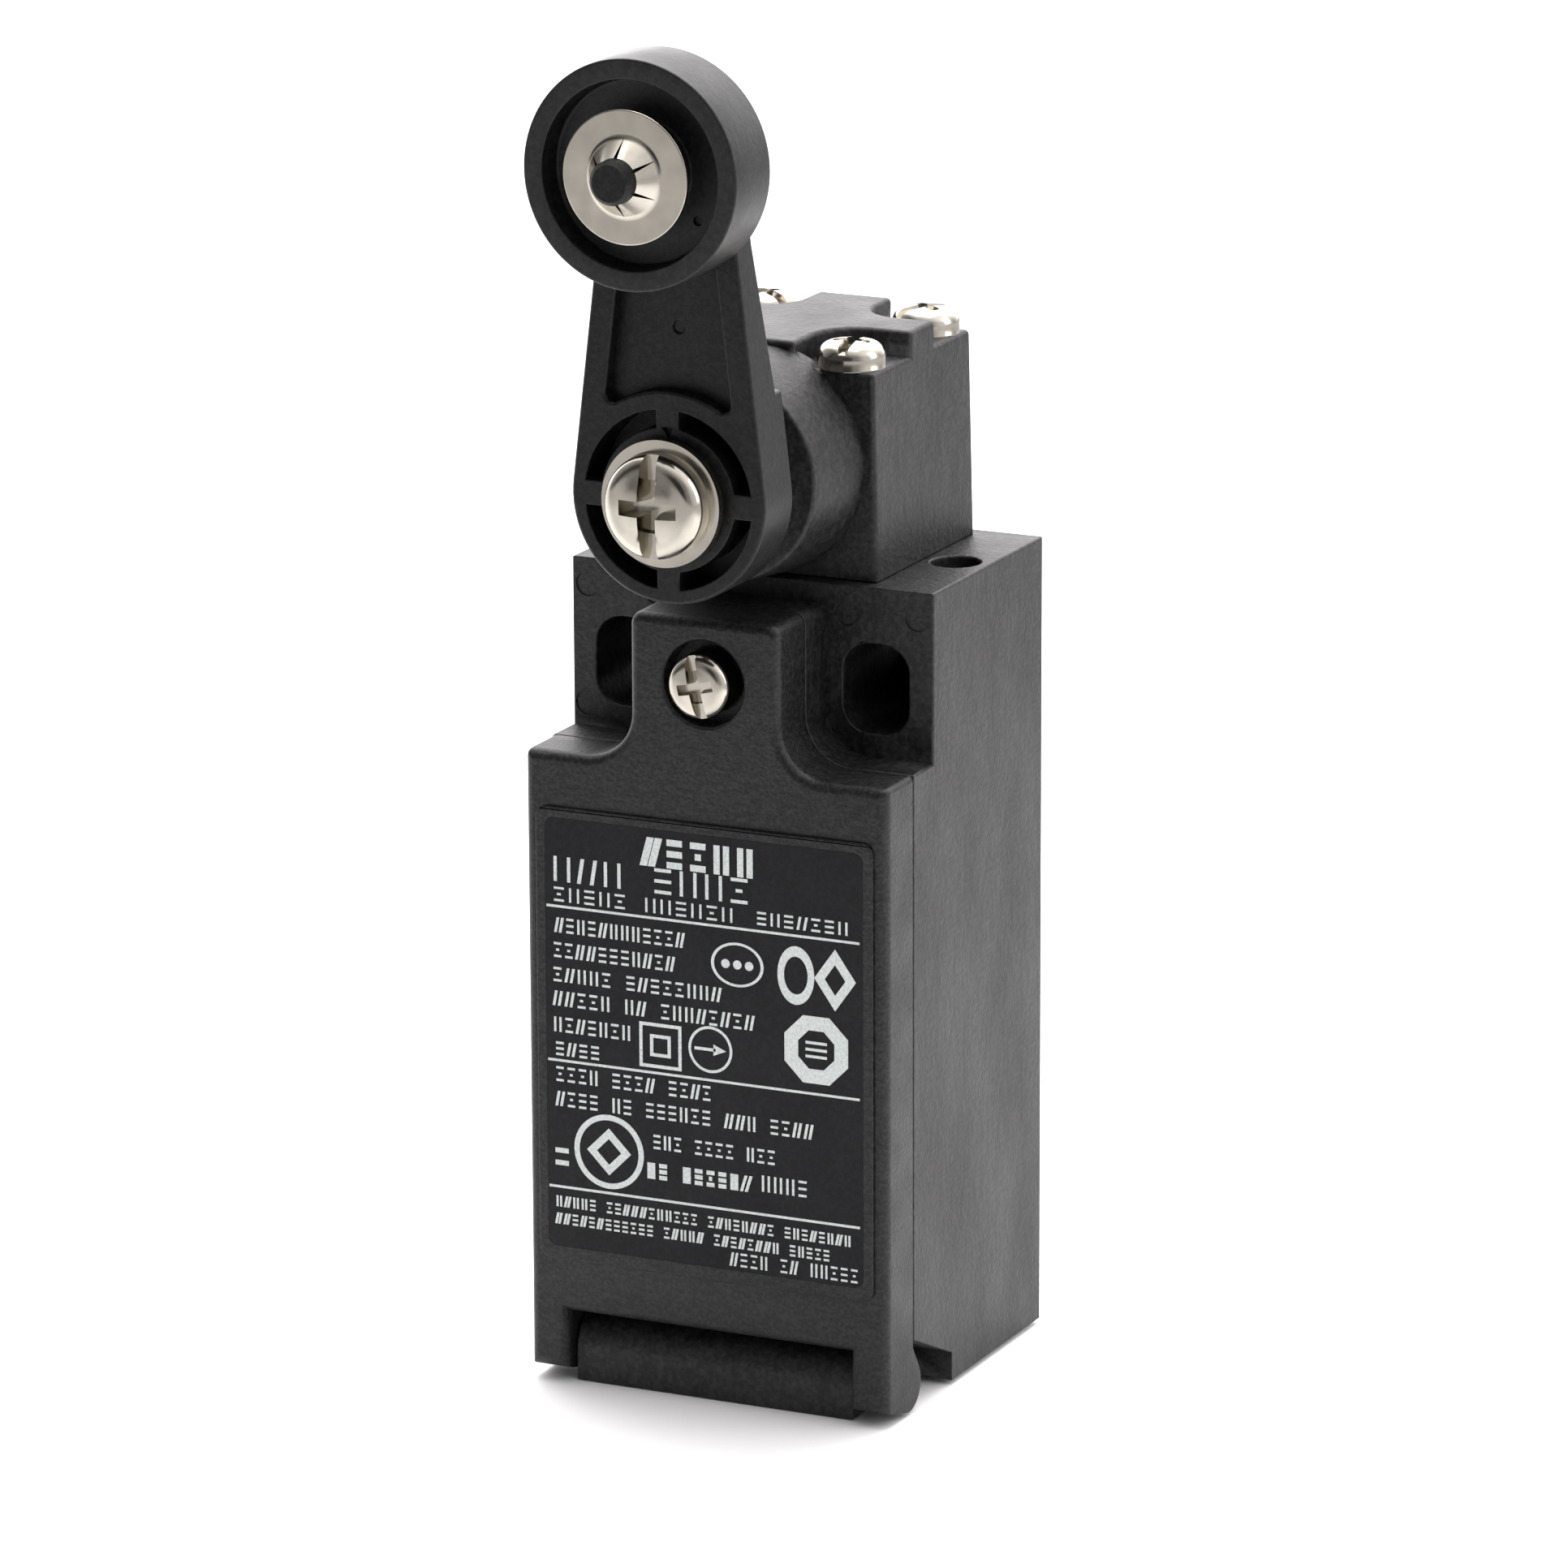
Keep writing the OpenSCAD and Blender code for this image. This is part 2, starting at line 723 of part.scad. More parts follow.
module shaft_bush() {
    color("peru") from_underside() difference() {
        rod(0, shaft_h, cavity_front_d + gap, bush_front_d, bush_r - snug);
        rod(0, shaft_h, 0, boss_d, shaft_r + gap);
    }
}

module shaft_seal() {
    color(rubber) from_underside() turned(0, shaft_h) polygon([
        [shaft_r + gap, bush_front_d + gap],
        [bush_r - snug, bush_front_d + gap],
        [bush_r - snug, seal_front_d],
        [shaft_r + seal_lip_t, seal_front_d],
        [shaft_r + gap, seal_front_d - seal_lip]
    ]);
}

// Coil around the back of the shaft that swings the lever back to the middle
module lever_spring() {
    color(steel) from_underside()
        translate([0, -cavity_back_d - gap, shaft_h]) rotate([90, 0, 0])
            coil(lever_spring_r, lever_spring_wire_r, lever_spring_turns, lever_spring_l);
}

module shaft() {
    color(steel) from_underside() difference() {
        turned(0, shaft_h) polygon([
            [0, tail_end_d], [tail_r, tail_end_d], [tail_r, shaft_step_d],
            [shaft_r, shaft_step_d], [shaft_r, clip_back_d - gap], [groove_r, clip_back_d - gap],
            [groove_r, clip_back_d + clip_t + gap], [shaft_r, clip_back_d + clip_t + gap],
            [shaft_r, collar_back_d], [collar_r, collar_back_d], [collar_r, hub_back_d],
            [shaft_r, hub_back_d], [shaft_r, shaft_front_d], [0, shaft_front_d]
        ]);
        rod(0, shaft_h, shaft_front_d - tapped_l, shaft_front_d + cut, lever_screw_r + snug);
    }
}

// Open ring that snaps into the groove of the shaft
module shaft_clip() {
    color(steel) from_underside() difference() {
        rod(0, shaft_h, clip_back_d, clip_back_d + clip_t, clip_r);
        rod(0, shaft_h, 0, boss_d, groove_r + snug);
        block([-clip_mouth / 2, clip_mouth / 2], [0, boss_d], [shaft_h, shaft_h + clip_r + cut]);
    }
}

// Round cam with the flat that the plunger faces at rest
module cam() {
    color(steel) from_underside() difference() {
        rod(0, shaft_h, axis_d - cam_w / 2, axis_d + cam_w / 2, cam_r);
        rod(0, shaft_h, 0, boss_d, shaft_r + snug);
        block([-cam_r, cam_r], [0, boss_d], [0, shaft_h - cam_flat]);
    }
}

// ---- Lever ----

// Outline of the lever: two rounds joined by their common tangents, drawn smaller by an inset
module lever_outline(inset = 0) {
    big = hub_r - inset;
    small = lever_tip_r - inset;
    lean = asin((big - small) / lever_radius);
    translate([0, shaft_h]) circle(big);
    translate([0, roller_h]) circle(small);
    polygon([for (p = [[1, big, shaft_h], [1, small, roller_h], [-1, small, roller_h],
                       [-1, big, shaft_h]])
        [p[0] * p[1] * cos(lean), p[2] + p[1] * sin(lean)]]);
}

// Side profile: a thick hub, a step, and an arm that gets thinner towards the roller
module lever_profile() {
    step_h = shaft_h + lever_step_rise;
    thin_h = shaft_h + lever_thin_rise;
    top_h = roller_h + lever_tip_r + cut;
    bottom_h = shaft_h - hub_r - cut;
    polygon([
        [-lever_front_d, bottom_h], [-hub_back_d, bottom_h], [-hub_back_d, step_h],
        [-hub_back_d - lever_step_t, step_h], [-hub_back_d - lever_thin_t, thin_h],
        [-hub_back_d - lever_thin_t, top_h],
        [-lever_front_d, top_h]
    ]);
}

module hub_slots() {
    difference() {
        rod(0, shaft_h, lever_front_d - slot_ring_t, lever_front_d + cut, slot_ring_outer_r);
        rod(0, shaft_h, 0, lever_front_d + 2 * cut, slot_ring_inner_r);
        for (a = [0, 90])
            translate([0, 0, shaft_h]) rotate([0, a, 0])
                block([-spoke_w / 2, spoke_w / 2], [0, 2 * lever_front_d], [-hub_r, hub_r]);
    }
}

module lever() {
    color(satin_black) from_underside() difference() {
        intersection() {
            between_depths(0, 2 * lever_front_d) lever_outline();
            across(-hub_r - cut, hub_r + cut) lever_profile();
        }
        rod(0, shaft_h, 0, 2 * lever_front_d, shaft_r + snug);
        hub_slots();
        between_depths(lever_front_d - lever_pocket_t, lever_front_d + cut)
            offset(r = lever_pocket_corner_r) offset(r = -lever_pocket_corner_r) difference() {
                lever_outline(rim_w);
                translate([0, shaft_h]) circle(lever_pocket_hub_r);
                translate([0, roller_h]) circle(lever_pocket_tip_r);
            }
        between_depths(lever_front_d - mark_t, lever_front_d + cut) polygon([
            [-mark_half_w, shaft_h + slot_ring_inner_r], [mark_half_w, shaft_h + slot_ring_inner_r],
            [0, shaft_h + mark_low_r]
        ]);
        rod(gate_x, shaft_h + gate_rise, lever_front_d - lever_pocket_t - gate_t, lever_front_d,
            gate_r);
    }
}

module spring_washer() {
    color(plated) from_underside() difference() {
        rod(0, shaft_h, lever_front_d, lever_front_d + spring_washer_t, spring_washer_r);
        rod(0, shaft_h, 0, 2 * lever_front_d, lever_screw_r + gap);
        block([-spring_washer_split / 2, spring_washer_split / 2], [0, 2 * lever_front_d],
              [shaft_h, shaft_h + hub_r]);
    }
}

module flat_washer() {
    color(plated) from_underside() difference() {
        rod(0, shaft_h, lever_front_d + spring_washer_t,
            lever_front_d + spring_washer_t + flat_washer_t, flat_washer_r);
        rod(0, shaft_h, 0, 2 * lever_front_d, lever_screw_r + gap);
    }
}

module lever_screw() {
    color(plated) from_underside()
        translate([0, -lever_front_d - spring_washer_t - flat_washer_t, shaft_h])
            rotate([90, 0, 0]) domed_screw(lever_screw_r, lever_screw_l, lever_screw_head);
}

// ---- Roller ----

// Pin with a wide journal for the roller and a thin stub for the retainer
module roller_pin() {
    color(satin_black) from_underside() turned(0, roller_h) polygon([
        [0, lever_front_d], [journal_r, lever_front_d], [journal_r, retainer_back_d],
        [stub_r, retainer_back_d], [stub_r, pin_tip_d - pin_chamfer],
        [stub_r - pin_chamfer, pin_tip_d],
        [0, pin_tip_d]
    ]);
}

module roller() {
    color(satin_black) from_underside() turned(0, roller_h) polygon([
        [journal_r + gap, roller_back_d], [roller_r - roller_chamfer, roller_back_d],
        [roller_r, roller_back_d + roller_chamfer], [roller_r, roller_front_d - roller_chamfer],
        [roller_r - roller_chamfer, roller_front_d], [roller_recess_r, roller_front_d],
        [roller_recess_r - roller_recess_draft, roller_recess_floor_d],
        [roller_hub_r, roller_recess_floor_d],
        [roller_hub_r, roller_hub_front_d], [journal_r + gap, roller_hub_front_d]
    ]);
}

// Push-on ring whose centre rises in six sprung tongues that grip the stub
module roller_retainer() {
    flat_d = retainer_back_d + retainer_t;
    color(plated) from_underside() difference() {
        turned(0, roller_h) polygon([
            [stub_r + snug, retainer_back_d + retainer_cone_t], [retainer_cone_r, retainer_back_d],
            [retainer_r, retainer_back_d], [retainer_r, flat_d], [retainer_cone_r, flat_d],
            [stub_r + snug, flat_d + retainer_cone_t]
        ]);
        for (a = [0 : 60 : 300])
            translate([0, 0, roller_h]) rotate([0, a, 0])
                block([-retainer_slit / 2, retainer_slit / 2], [roller_back_d, pin_tip_d],
                      [0, retainer_slit_r]);
    }
}

// ---- Cover ----

// Leg of the cover with the lobe that turns on the hinge
module hinge_leg_profile() {
    rear_angle = 30;
    lower_angle = -105;
    translate([-hinge_d, hinge_h]) circle(lobe_r);
    polygon([
        [-cover_d, cover_bottom_h], [-cover_d, floor_t + cut], [-cover_back_d, floor_t + cut],
        [-cover_back_d, hinge_h + lobe_neck],
        [-hinge_d + lobe_r * cos(rear_angle), hinge_h + lobe_r * sin(rear_angle)],
        [-hinge_d, hinge_h],
        [-hinge_d + lobe_r * cos(lower_angle), hinge_h + lobe_r * sin(lower_angle)]
    ]);
}

module cover() {
    color(soft_black) from_underside() difference() {
        union() {
            between_depths(cover_back_d, cover_d) {
                translate([-half_w, notch_seam_h]) square([case_w, shoulder_h - notch_seam_h]);
                tongue_outline();
            }
            between_depths(cover_d - cut, cover_d + plate_t)
                rounded_rect([-plate_half_w, plate_half_w], [plate_bottom_h, plate_top_h],
                             plate_corner_r);
            both_sides() across(leg_x, half_w) hinge_leg_profile();
        }
        block([-chamber_half_w, chamber_half_w], [seam_d - cut, cover_d - cover_skin],
              [floor_t, chamber_top_h]);
        block([-packing_x - gap, packing_x + gap], [seam_d - cut, seam_d + packing_t + gap],
              [floor_t - packing_overlap - gap, chamber_top_h + packing_overlap + gap]);
        between_depths(cover_d + plate_t - label_t, cover_d + plate_t + cut)
            rounded_rect([-label_half_w, label_half_w], [label_bottom_h, label_top_h],
                         label_corner_r);
        rod(0, cover_screw_h, 0, cover_d + cut, cover_screw_hole_r);
        rod(0, cover_screw_h, cover_screw_seat_d, cover_d + cut, counterbore_r);
        across(-trunnion_x - gap, trunnion_x + gap)
            translate([-hinge_d, hinge_h]) circle(trunnion_r + gap);
    }
}

// Printed film in the raised field of the cover
module label() {
    color([0.1, 0.1, 0.11]) from_underside()
        between_depths(cover_d + plate_t - label_t, cover_d + plate_t)
            rounded_rect([-label_half_w + snug, label_half_w - snug],
                         [label_bottom_h + snug, label_top_h - snug], label_corner_r);
}

module cover_packing() {
    color(rubber) from_underside() difference() {
        block([-packing_x, packing_x], [seam_d + snug, seam_d + packing_t],
              [floor_t - packing_overlap, chamber_top_h + packing_overlap]);
        block([-chamber_half_w, chamber_half_w], [0, cover_d], [floor_t, chamber_top_h]);
    }
}

module cover_screw() {
    color(plated) from_underside() translate([0, -cover_screw_seat_d, cover_screw_h])
        rotate([90, 0, 0]) domed_screw(cover_screw_r, cover_screw_l, cover_screw_head);
}

case();
cover_screw_insert();
contact_block();
contact_block_lid();
block_screws();
terminals();
fixed_contacts();
clamp_washers();
terminal_screws();
contact_carrier();
moving_contacts();
contact_buttons();
contact_springs();
carrier_spring();
plunger();
plunger_guide();
head_gasket();
head();
head_screws();
shaft_bush();
shaft_seal();
lever_spring();
shaft();
shaft_clip();
cam();
lever();
spring_washer();
flat_washer();
lever_screw();
roller_pin();
roller();
roller_retainer();
cover();
label();
cover_packing();
cover_screw();
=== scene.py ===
"""Looks of a compact limit switch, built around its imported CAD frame."""
import json
import math
import random

import bmesh
import bpy
from mathutils import Matrix, Vector
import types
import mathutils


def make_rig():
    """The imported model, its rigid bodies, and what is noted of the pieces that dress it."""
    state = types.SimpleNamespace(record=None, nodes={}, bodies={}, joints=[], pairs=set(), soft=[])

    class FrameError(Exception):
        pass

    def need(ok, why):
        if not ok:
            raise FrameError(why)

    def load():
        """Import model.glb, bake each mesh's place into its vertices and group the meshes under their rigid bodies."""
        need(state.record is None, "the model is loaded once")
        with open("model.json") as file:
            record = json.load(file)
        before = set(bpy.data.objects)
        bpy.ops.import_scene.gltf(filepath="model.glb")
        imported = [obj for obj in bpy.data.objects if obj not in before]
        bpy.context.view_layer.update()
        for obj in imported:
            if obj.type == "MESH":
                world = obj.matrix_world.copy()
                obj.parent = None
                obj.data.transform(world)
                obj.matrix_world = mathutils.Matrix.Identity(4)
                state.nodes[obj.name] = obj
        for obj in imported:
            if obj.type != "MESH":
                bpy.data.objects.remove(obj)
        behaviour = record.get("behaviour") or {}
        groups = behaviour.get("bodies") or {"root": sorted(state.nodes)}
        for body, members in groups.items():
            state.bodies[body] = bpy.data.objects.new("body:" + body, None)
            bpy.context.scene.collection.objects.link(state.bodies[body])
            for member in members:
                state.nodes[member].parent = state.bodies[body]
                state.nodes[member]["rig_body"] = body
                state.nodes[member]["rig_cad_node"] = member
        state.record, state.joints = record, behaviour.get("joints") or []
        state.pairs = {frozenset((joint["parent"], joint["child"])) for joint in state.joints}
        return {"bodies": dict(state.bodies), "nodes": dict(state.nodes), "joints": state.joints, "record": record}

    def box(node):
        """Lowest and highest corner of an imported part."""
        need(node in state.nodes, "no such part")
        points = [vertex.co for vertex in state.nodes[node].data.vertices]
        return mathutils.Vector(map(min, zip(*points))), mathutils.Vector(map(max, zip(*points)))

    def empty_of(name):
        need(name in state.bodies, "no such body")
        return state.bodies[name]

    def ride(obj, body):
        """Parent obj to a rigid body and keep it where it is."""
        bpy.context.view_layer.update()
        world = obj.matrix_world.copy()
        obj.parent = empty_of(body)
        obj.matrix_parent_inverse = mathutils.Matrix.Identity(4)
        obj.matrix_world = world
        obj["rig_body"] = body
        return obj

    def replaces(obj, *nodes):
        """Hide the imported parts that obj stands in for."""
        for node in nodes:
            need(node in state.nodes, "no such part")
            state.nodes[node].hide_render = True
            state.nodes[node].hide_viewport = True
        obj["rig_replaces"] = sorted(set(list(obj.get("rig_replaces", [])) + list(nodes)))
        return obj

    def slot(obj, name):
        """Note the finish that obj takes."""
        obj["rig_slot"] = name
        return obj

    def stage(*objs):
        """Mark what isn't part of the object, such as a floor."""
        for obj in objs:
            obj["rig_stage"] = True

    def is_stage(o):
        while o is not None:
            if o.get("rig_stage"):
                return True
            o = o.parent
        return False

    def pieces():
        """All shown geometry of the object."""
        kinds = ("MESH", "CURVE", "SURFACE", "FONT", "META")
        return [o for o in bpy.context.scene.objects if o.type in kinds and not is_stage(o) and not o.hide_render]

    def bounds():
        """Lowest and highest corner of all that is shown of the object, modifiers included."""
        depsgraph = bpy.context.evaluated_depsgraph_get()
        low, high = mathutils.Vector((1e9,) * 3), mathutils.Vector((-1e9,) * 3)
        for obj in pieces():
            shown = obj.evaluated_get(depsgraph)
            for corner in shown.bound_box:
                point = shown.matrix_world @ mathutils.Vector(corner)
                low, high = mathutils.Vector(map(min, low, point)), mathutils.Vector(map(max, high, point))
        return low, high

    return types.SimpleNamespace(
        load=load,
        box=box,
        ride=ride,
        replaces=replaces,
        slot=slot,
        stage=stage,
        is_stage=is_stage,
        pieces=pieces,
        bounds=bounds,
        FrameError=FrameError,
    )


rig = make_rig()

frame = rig.load()
CAD_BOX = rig.bounds()
NODES = frame["nodes"]
MM = 0.001


# ---- Places that the frame gives ----


def joint_point(name):
    """The point that a hinge turns about."""
    found = [j for j in frame["joints"] if j["name"] == name][0]
    return Vector(found["pos_m"])


SHAFT = joint_point("lever_swing")
PIN = joint_point("roller_spin")
COVER_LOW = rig.box("cover")[0]
LABEL_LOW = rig.box("label")[0]
CASE_LOW, CASE_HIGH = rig.box("case")
ROLLER_LOW, ROLLER_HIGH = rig.box("roller")
CASE_TALL = 64.1                                  # from the underside to the top face, in millimetres
CASE_UNDER = CASE_HIGH.z / MM - CASE_TALL
PLATE_PROUD = 0.3                                 # how far the label's field stands out of the cover
COVER_SCREW_TALL = 57.4                           # the cover screw's height above the underside
PIN_MARKS = ((14.0, 62.0), (14.1, 52.5), (8.05, 61.9))   # round marks on the upper block: side, height
PIN_MARK_REACH = 1.05                             # just past the rim of such a mark


# ---- Camera ----


def make_camera():
    """A long lens, 25 degrees to the right of the front and 15 degrees above the level."""
    azimuth, elevation, roll = (math.radians(a) for a in (25.254, 14.910, -0.225))
    back = Vector((math.sin(azimuth) * math.cos(elevation),
                   -math.cos(azimuth) * math.cos(elevation),
                   math.sin(elevation)))
    level = Vector((math.cos(azimuth), math.sin(azimuth), 0))
    upright = back.cross(level)
    right = level * math.cos(roll) + upright * math.sin(roll)
    up = upright * math.cos(roll) - level * math.sin(roll)
    data = bpy.data.cameras.new("camera")
    data.sensor_width = 36
    data.lens = 205.94
    data.clip_start, data.clip_end = 0.05, 20
    camera = bpy.data.objects.new("camera", data)
    turn = Matrix((right, up, back)).transposed().to_4x4()
    place = (0.287727, -0.625073, 0.169541)
    camera.matrix_world = Matrix.Translation(place) @ turn
    bpy.context.scene.collection.objects.link(camera)
    bpy.context.scene.camera = camera


# ---- Materials ----


class Nodes:
    """Short calls that add shader nodes and join them."""

    def __init__(self, tree):
        self.tree = tree
        tree.nodes.clear()

    def add(self, kind, **values):
        made = self.tree.nodes.new(kind)
        for name, value in values.items():
            setattr(made, name, value)
        return made

    def link(self, source, target):
        self.tree.links.new(source, target)

    def noise(self, place, scale, detail, stretch=(1, 1, 1)):
        spread = self.add("ShaderNodeMapping")
        spread.inputs["Scale"].default_value = stretch
        self.link(place, spread.inputs["Vector"])
        made = self.add("ShaderNodeTexNoise")
        made.inputs["Scale"].default_value = scale
        made.inputs["Detail"].default_value = detail
        self.link(spread.outputs["Vector"], made.inputs["Vector"])
        return made.outputs["Fac"]

    def between(self, value, low, high, out_low, out_high):
        made = self.add("ShaderNodeMapRange")
        limits = {"From Min": low, "From Max": high, "To Min": out_low, "To Max": out_high}
        for name, number in limits.items():
            made.inputs[name].default_value = number
        self.link(value, made.inputs["Value"])
        return made.outputs["Result"]

    def mix(self, share, first, second):
        made = self.add("ShaderNodeMix", data_type="RGBA")
        made.inputs["A"].default_value = (*first, 1)
        made.inputs["B"].default_value = (*second, 1)
        self.link(share, made.inputs["Factor"])
        return made.outputs["Result"]

    def blend(self, share, first, second):
        """Two values, with that share of the second."""
        made = self.add("ShaderNodeMix", data_type="FLOAT")
        made.inputs["Factor"].default_value = share
        self.link(first, made.inputs["A"])
        self.link(second, made.inputs["B"])
        return made.outputs["Result"]

    def bump(self, height, strength, distance):
        made = self.add("ShaderNodeBump")
        made.inputs["Strength"].default_value = strength
        made.inputs["Distance"].default_value = distance
        self.link(height, made.inputs["Height"])
        return made.outputs["Normal"]


def new_material(name):
    material = bpy.data.materials.new(name)
    material.use_nodes = True
    nodes = Nodes(material.node_tree)
    shader = nodes.add("ShaderNodeBsdfPrincipled")
    out = nodes.add("ShaderNodeOutputMaterial")
    nodes.link(shader.outputs["BSDF"], out.inputs["Surface"])
    place = nodes.add("ShaderNodeTexCoord").outputs["Object"]
    return material, nodes, shader, place


def moulded_plastic(name, dark, pale, rough, grain, depth, stretch=(1, 1, 1), streaks=0.5, gloss=0.5):
    """Plastic with a fine grain and flow marks.

    The grain is in waves per metre. stretch draws the flow marks out along the axis with the smallest
    number, and streaks is their share of the relief."""
    material, nodes, shader, place = new_material(name)
    fine = nodes.noise(place, grain, 3.0)
    flow = nodes.noise(place, grain * 0.6, 2.0, stretch)
    cloud = nodes.noise(place, grain / 14, 3.0, stretch)
    relief = nodes.blend(streaks, fine, flow)
    shade = nodes.between(relief, 0.42, 0.62, 0.0, 1.0)
    nodes.link(nodes.mix(shade, dark, pale), shader.inputs["Base Color"])
    nodes.link(nodes.between(cloud, 0.3, 0.7, rough - 0.05, rough + 0.06), shader.inputs["Roughness"])
    nodes.link(nodes.bump(relief, 1.0, depth), shader.inputs["Normal"])
    shader.inputs["Specular IOR Level"].default_value = gloss
    return material


def metal(name, colour, rough, marks=6000, depth=0.000002):
    """Metal with fine marks, and a tint and gloss that vary a little."""
    material, nodes, shader, place = new_material(name)
    fine = nodes.noise(place, marks, 3.0)
    cloud = nodes.noise(place, 500, 3.0)
    darker = tuple(c * 0.8 for c in colour)
    nodes.link(nodes.mix(nodes.between(cloud, 0.35, 0.7, 0, 1), darker, colour), shader.inputs["Base Color"])
    nodes.link(nodes.between(cloud, 0.3, 0.7, rough * 0.75, rough * 1.3), shader.inputs["Roughness"])
    nodes.link(nodes.bump(fine, 0.5, depth), shader.inputs["Normal"])
    shader.inputs["Metallic"].default_value = 1.0
    return material


def print_ink(name, colour):
    """Screen-printed ink, uneven at a small scale."""
    material, nodes, shader, place = new_material(name)
    patchy = nodes.noise(place, 5000, 4.0)
    faded = tuple(c * 0.72 for c in colour)
    nodes.link(nodes.mix(nodes.between(patchy, 0.3, 0.65, 0, 1), faded, colour), shader.inputs["Base Color"])
    nodes.link(nodes.bump(patchy, 0.3, 0.000005), shader.inputs["Normal"])
    shader.inputs["Roughness"].default_value = 0.6
    return material


def make_materials():
    upright, level = (1, 1, 0.35), (0.3, 1, 1)
    return {
        "case_plastic": moulded_plastic("case_plastic", (0.001, 0.001, 0.0012), (0.019, 0.0175, 0.019),
                                        0.5, 2600, 0.00008, upright, 0.4, 0.42),
        "cover_plastic": moulded_plastic("cover_plastic", (0.001, 0.001, 0.0012), (0.016, 0.0155, 0.016),
                                         0.46, 3400, 0.00006, level, 0.3, 0.37),
        "lever_plastic": moulded_plastic("lever_plastic", (0.002, 0.002, 0.002), (0.01, 0.0095, 0.0095),
                                         0.44, 3000, 0.00004, gloss=0.3),
        "roller_plastic": moulded_plastic("roller_plastic", (0.004, 0.004, 0.004), (0.014, 0.0135, 0.0135),
                                          0.42, 3000, 0.00003, gloss=0.4),
        "label_film": moulded_plastic("label_film", (0.002, 0.0025, 0.004), (0.006, 0.0065, 0.009),
                                      0.5, 3400, 0.000012, gloss=0.22),
        "block_plastic": moulded_plastic("block_plastic", (0.6, 0.56, 0.47), (0.72, 0.68, 0.58),
                                         0.45, 3000, 0.00001),
        "carrier_plastic": moulded_plastic("carrier_plastic", (0.22, 0.08, 0.035), (0.3, 0.11, 0.05),
                                           0.45, 3000, 0.00001),
        "plated_steel": metal("nickel_plate", (0.53, 0.5, 0.435), 0.15),
        "steel": metal("machined_steel", (0.55, 0.55, 0.56), 0.3),
        "brass": metal("brass", (0.78, 0.58, 0.27), 0.25),
        "bronze": metal("bronze", (0.55, 0.36, 0.2), 0.45, 4000, 0.000006),
        "silver": metal("silver", (0.88, 0.87, 0.85), 0.22),
        "rubber": moulded_plastic("rubber", (0.008, 0.008, 0.008), (0.014, 0.014, 0.014), 0.7, 3000, 0.00002),
        "ink": print_ink("white_ink", (0.72, 0.77, 0.76)),
    }


# ---- Shapes ----


def new_piece(name, bm, material, body, slot, *nodes):
    """Makes an object of a finished bmesh, on a body, in place of the CAD nodes that it stands for."""
    mesh = bpy.data.meshes.new(name)
    bm.to_mesh(mesh)
    bm.free()
    piece = bpy.data.objects.new(name, mesh)
    bpy.context.scene.collection.objects.link(piece)
    mesh.materials.append(material)
    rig.ride(piece, body)
    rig.slot(piece, slot)
    if nodes:
        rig.replaces(piece, *nodes)
    return piece


def smooth_by_angle(bm, degrees):
    """Shades a shape smooth, but for edges that bend more than that."""
    limit = math.radians(degrees)
    for face in bm.faces:
        face.smooth = True
    for edge in bm.edges:
        edge.smooth = edge.calc_face_angle(math.pi) < limit


FLAT_ANGLE = 0.6                                  # faces that bend less than this are joined, in degrees
SHARP_ANGLE = 28                                  # edges that bend more than this are rounded
WIDEST_ROUND = 1.5                                # the edge radius at a bevel weight of one


def soften(node, width_of, weld=0.002):
    """A copy of a CAD node's shape whose outer sharp edges are rounded.

    width_of gives the radius of an edge in millimetres, from its middle and its direction in the shared
    frame. weld is the distance, in millimetres, within which corners are joined first."""
    bm = bmesh.new()
    bm.from_mesh(NODES[node].data)
    bmesh.ops.remove_doubles(bm, verts=bm.verts, dist=weld * MM)
    bmesh.ops.dissolve_limit(bm, angle_limit=math.radians(FLAT_ANGLE), verts=bm.verts, edges=bm.edges)
    bm.normal_update()
    weight = bm.edges.layers.float.new("bevel_weight_edge")
    for face in bm.faces:
        face.smooth = True
    for edge in bm.edges:
        if len(edge.link_faces) != 2 or edge.calc_face_angle(0) < math.radians(SHARP_ANGLE):
            continue
        if not edge.is_convex:
            edge.smooth = False
            continue
        middle = (edge.verts[0].co + edge.verts[1].co) / 2 / MM
        along = (edge.verts[1].co - edge.verts[0].co).normalized()
        width = width_of(middle, along)
        edge[weight] = width / WIDEST_ROUND
        edge.smooth = width > 0
    slot = NODES[node].data.materials[0].name
    piece = new_piece(node + "_shell", bm, MATERIALS[slot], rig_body(node), slot, node)
    bevel = piece.modifiers.new("round", "BEVEL")
    bevel.limit_method = "WEIGHT"
    bevel.width = WIDEST_ROUND * MM
    bevel.segments = 3
    bevel.use_clamp_overlap = False
    bevel.loop_slide = False
    normals = piece.modifiers.new("normals", "WEIGHTED_NORMAL")
    normals.keep_sharp = True
    normals.weight = 80


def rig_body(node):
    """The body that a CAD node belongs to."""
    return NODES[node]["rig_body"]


def lies(value, target):
    """Whether a length in millimetres is the target, but for rounding."""
    return abs(value - target) < 0.03


# ---- Plastic pieces ----


# Widths of the rounded edges. x is to the side from the middle, depth from the back face, height from the
# underside, all in millimetres.


def case_width(middle, along):
    x, depth, height = abs(middle.x), -middle.y, middle.z - CASE_UNDER
    inside = x < 12.5 and 2.9 < depth < 24.4 and 7.1 < height < 47.8
    hinge = height < 6.5
    seam_or_middle = depth > 24 or x < 9
    upper_block = height > 48
    if inside:
        return 0
    if any(math.hypot(x - a, height - b) < PIN_MARK_REACH for a, b in PIN_MARKS):
        return 0.03
    if hinge:
        return 0.08
    if seam_or_middle:
        return 0.1
    return 0.2 if upper_block else 0.3


